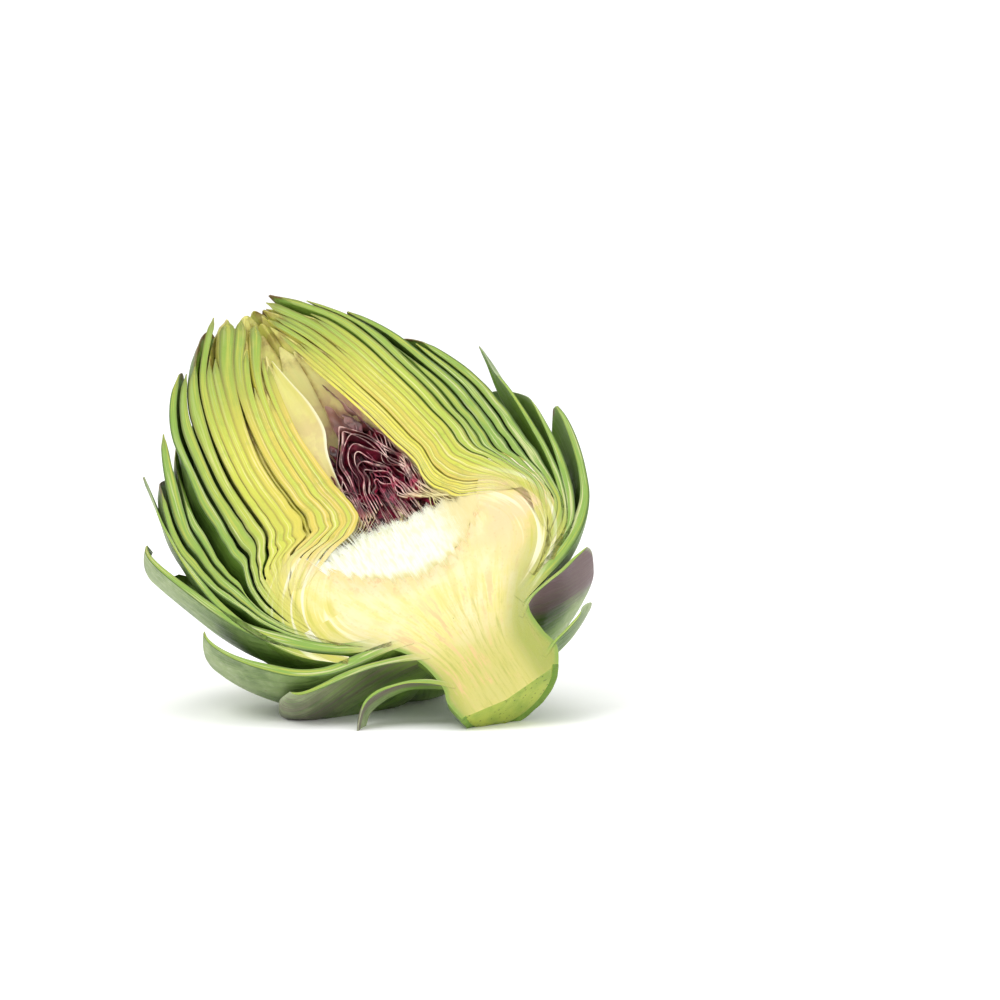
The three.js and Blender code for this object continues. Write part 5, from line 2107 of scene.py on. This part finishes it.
@dataclass
class ArtichokeHalf:
    """The whole half: it builds each piece, dresses it and sets it on the frame.

    Attributes:
        spiral: bracts of the closed head.
        flesh: heart and skin.
        choke: white hairs.
        fineness: columns and rows of a bract's grid.
    """

    spiral: Spiral = field(default_factory=Spiral)
    flesh: Flesh = field(default_factory=Flesh)
    choke: Choke = field(default_factory=Choke)
    fineness: tuple[int, int] = (26, 60)

    def set_down(self, made: bpy.types.Object, slot: str, *nodes: str) -> None:
        """Rides a piece on the half and hides the solids that it stands for.

        Args:
            made: the piece.
            slot: not used.
            nodes: the solids, or none.
        """
        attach(made, "root")
        if nodes:
            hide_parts(*nodes)

    def build(self) -> None:
        """Builds every piece."""
        effects = Effects()
        cut = CutTissue().material(effects)
        yellow, green = YellowSkin().material(effects), GreenSkin().material(effects)
        inner, outer = [], []
        for bract in self.spiral.bracts:
            shell = self.spiral.blade_of(bract, *self.fineness)
            if shell is not None:
                (outer if bract.number >= self.spiral.first_green else inner).append(shell)
        heart = piece("heart_flesh", self.flesh.heart(), [yellow, cut], 40)
        self.set_down(heart, "pale_flesh", "heart")
        purple = PurpleBracts(self.spiral.layers)
        inner.append(purple.veil())
        self.set_down(piece("yellow_bracts", joined(inner), [yellow, cut], 50), "pale_flesh")
        loose = [bract.shell(n, *self.fineness) for n, bract in enumerate(LOOSE_BRACTS)]
        greens = piece("green_bracts", joined(outer), [green, cut], 50)
        self.set_down(greens, "green_bract", "outer_bracts")
        self.set_down(piece("loose_bracts", joined(loose), [green, cut], 50), "green_bract")
        self.set_down(piece("green_rind", self.flesh.skin(), [green, cut], 50), "green_bract")
        hair = ChokeHair().material()
        self.set_down(piece("choke_body", self.choke.body(), [hair, hair], 40), "white_hair", "choke")
        self.set_down(piece("choke_hairs", self.choke.bristles(), [hair], 80), "white_hair")
        skin = PurpleSkin().material(effects)
        leaves = piece("purple_leaves", purple.shell(), [skin, skin], 60)
        self.set_down(leaves, "purple_bract", "purple_bracts")
        thread = PurpleThread().material()
        self.set_down(piece("purple_threads", purple.curls(), [thread], 80), "purple_bract")


@dataclass
class Studio:
    """Plain pale floor that sweeps up behind, soft lamps and the camera.

    Attributes:
        distance: camera to target, in metres.
        view_width: width of the view at the target, in metres.
        elevation: camera's height angle.
        shift: target from the head's own origin, to the right and up in the view, in metres.
        floor_colour: the floor's colour.
        sweep: radius of the floor's bend, in metres.
        reach: how far behind the middle the bend starts.
        width: the floor's width.
        front: how far it comes forward of the middle.
        height: how high it goes up behind.
        sensor_mm: width of the camera's sensor, in millimetres.
    """

    distance: float = 1.0
    view_width: float = 0.24
    elevation: float = math.radians(7)
    shift: Pair = (0.0163, 0.0204)
    floor_colour: str = "fefefe"
    sweep: float = 0.6
    reach: float = 1.2
    width: float = 4.0
    front: float = 2.5
    height: float = 3.0
    sensor_mm: float = 36.0

    def floor(self) -> None:
        """A sheet carried along a profile: flat, then a quarter round, then upright."""
        angle = np.linspace(0, math.pi / 2, 17)
        bend = np.stack([self.reach + self.sweep * np.sin(angle), self.sweep * (1 - np.cos(angle))], -1)
        profile = np.concatenate([[[-self.front, 0.0]], bend, [[self.reach + self.sweep, self.height]]])
        rows = len(profile)
        points = np.zeros((rows, 2, 3))
        points[..., 0] = [-self.width / 2, self.width / 2]
        points[..., 1:] = profile[:, None]
        grid = np.arange(rows * 2).reshape(rows, 2)
        faces = np.stack([grid[:-1, 0], grid[:-1, 1], grid[1:, 1], grid[1:, 0]], -1)
        mesh = bpy.data.meshes.new("floor")
        mesh.from_pydata(points.reshape(-1, 3).tolist(), [], faces.tolist())
        mesh.shade_smooth()
        material, desk, shader = dressed("pale_floor", Gloss(roughness=0.9, specular=0.1))
        desk.feed(shader["Base Color"], self.floor_colour)
        mesh.materials.append(material)
        made = bpy.data.objects.new("floor", mesh)
        bpy.context.scene.collection.objects.link(made)

    def lamp(self, name: str, place_at: Triple, aim: Triple, size: float, watts: float) -> None:
        """A square soft box aimed at a point.

        Args:
            name: its name.
            place_at: where it hangs, in metres.
            aim: the point.
            size: its width, in metres.
            watts: its power.
        """
        data = bpy.data.lights.new(name, "AREA")
        data.size, data.energy = size, watts
        made = bpy.data.objects.new(name, data)
        made.location = place_at
        made.rotation_euler = (Vector(aim) - Vector(place_at)).to_track_quat("-Z", "Y").to_euler()
        bpy.context.scene.collection.objects.link(made)

    def lights(self) -> None:
        """White surroundings, a key lamp from above left, a fill from the front right, one overhead."""
        world = bpy.data.worlds.new("studio")
        world.use_nodes = True
        around = world.node_tree.nodes["Background"].inputs
        around["Color"].default_value = (1, 1, 1, 1)
        around["Strength"].default_value = 1.0
        bpy.context.scene.world = world
        self.lamp("key", (-0.45, -0.55, 0.95), (0, 0, 0.04), 0.5, 3.8)
        self.lamp("fill", (0.8, -0.7, 0.3), (0, 0, 0.04), 0.7, 1.6)
        self.lamp("top", (0.0, 0.2, 1.3), (0, 0, 0.04), 0.9, 3.6)

    def camera(self) -> None:
        """A long lens at the view's height angle, looking along +Y and a little down."""
        c, s = math.cos(self.elevation), math.sin(self.elevation)
        centre = np.array(POSE.origin) * MM
        target = centre + np.array([self.shift[0], 0, 0]) + self.shift[1] * np.array([0, s, c])
        data = bpy.data.cameras.new("view")
        data.sensor_width = self.sensor_mm
        data.lens = self.sensor_mm * self.distance / self.view_width
        made = bpy.data.objects.new("view", data)
        made.location = target + self.distance * np.array([0, -c, s])
        made.rotation_euler = (math.pi / 2 - self.elevation, 0, 0)
        bpy.context.scene.collection.objects.link(made)
        bpy.context.scene.camera = made
        bpy.context.scene.view_settings.view_transform = "Standard"

    def build(self) -> None:
        """Sets up floor, lamps and camera."""
        self.floor()
        self.lights()
        self.camera()


def main() -> None:
    """Builds the half and its studio in order."""
    logging.basicConfig(level=logging.INFO, format="%(name)s %(message)s")
    Studio().build()
    ArtichokeHalf().build()


if __name__ == "__main__":
    main()
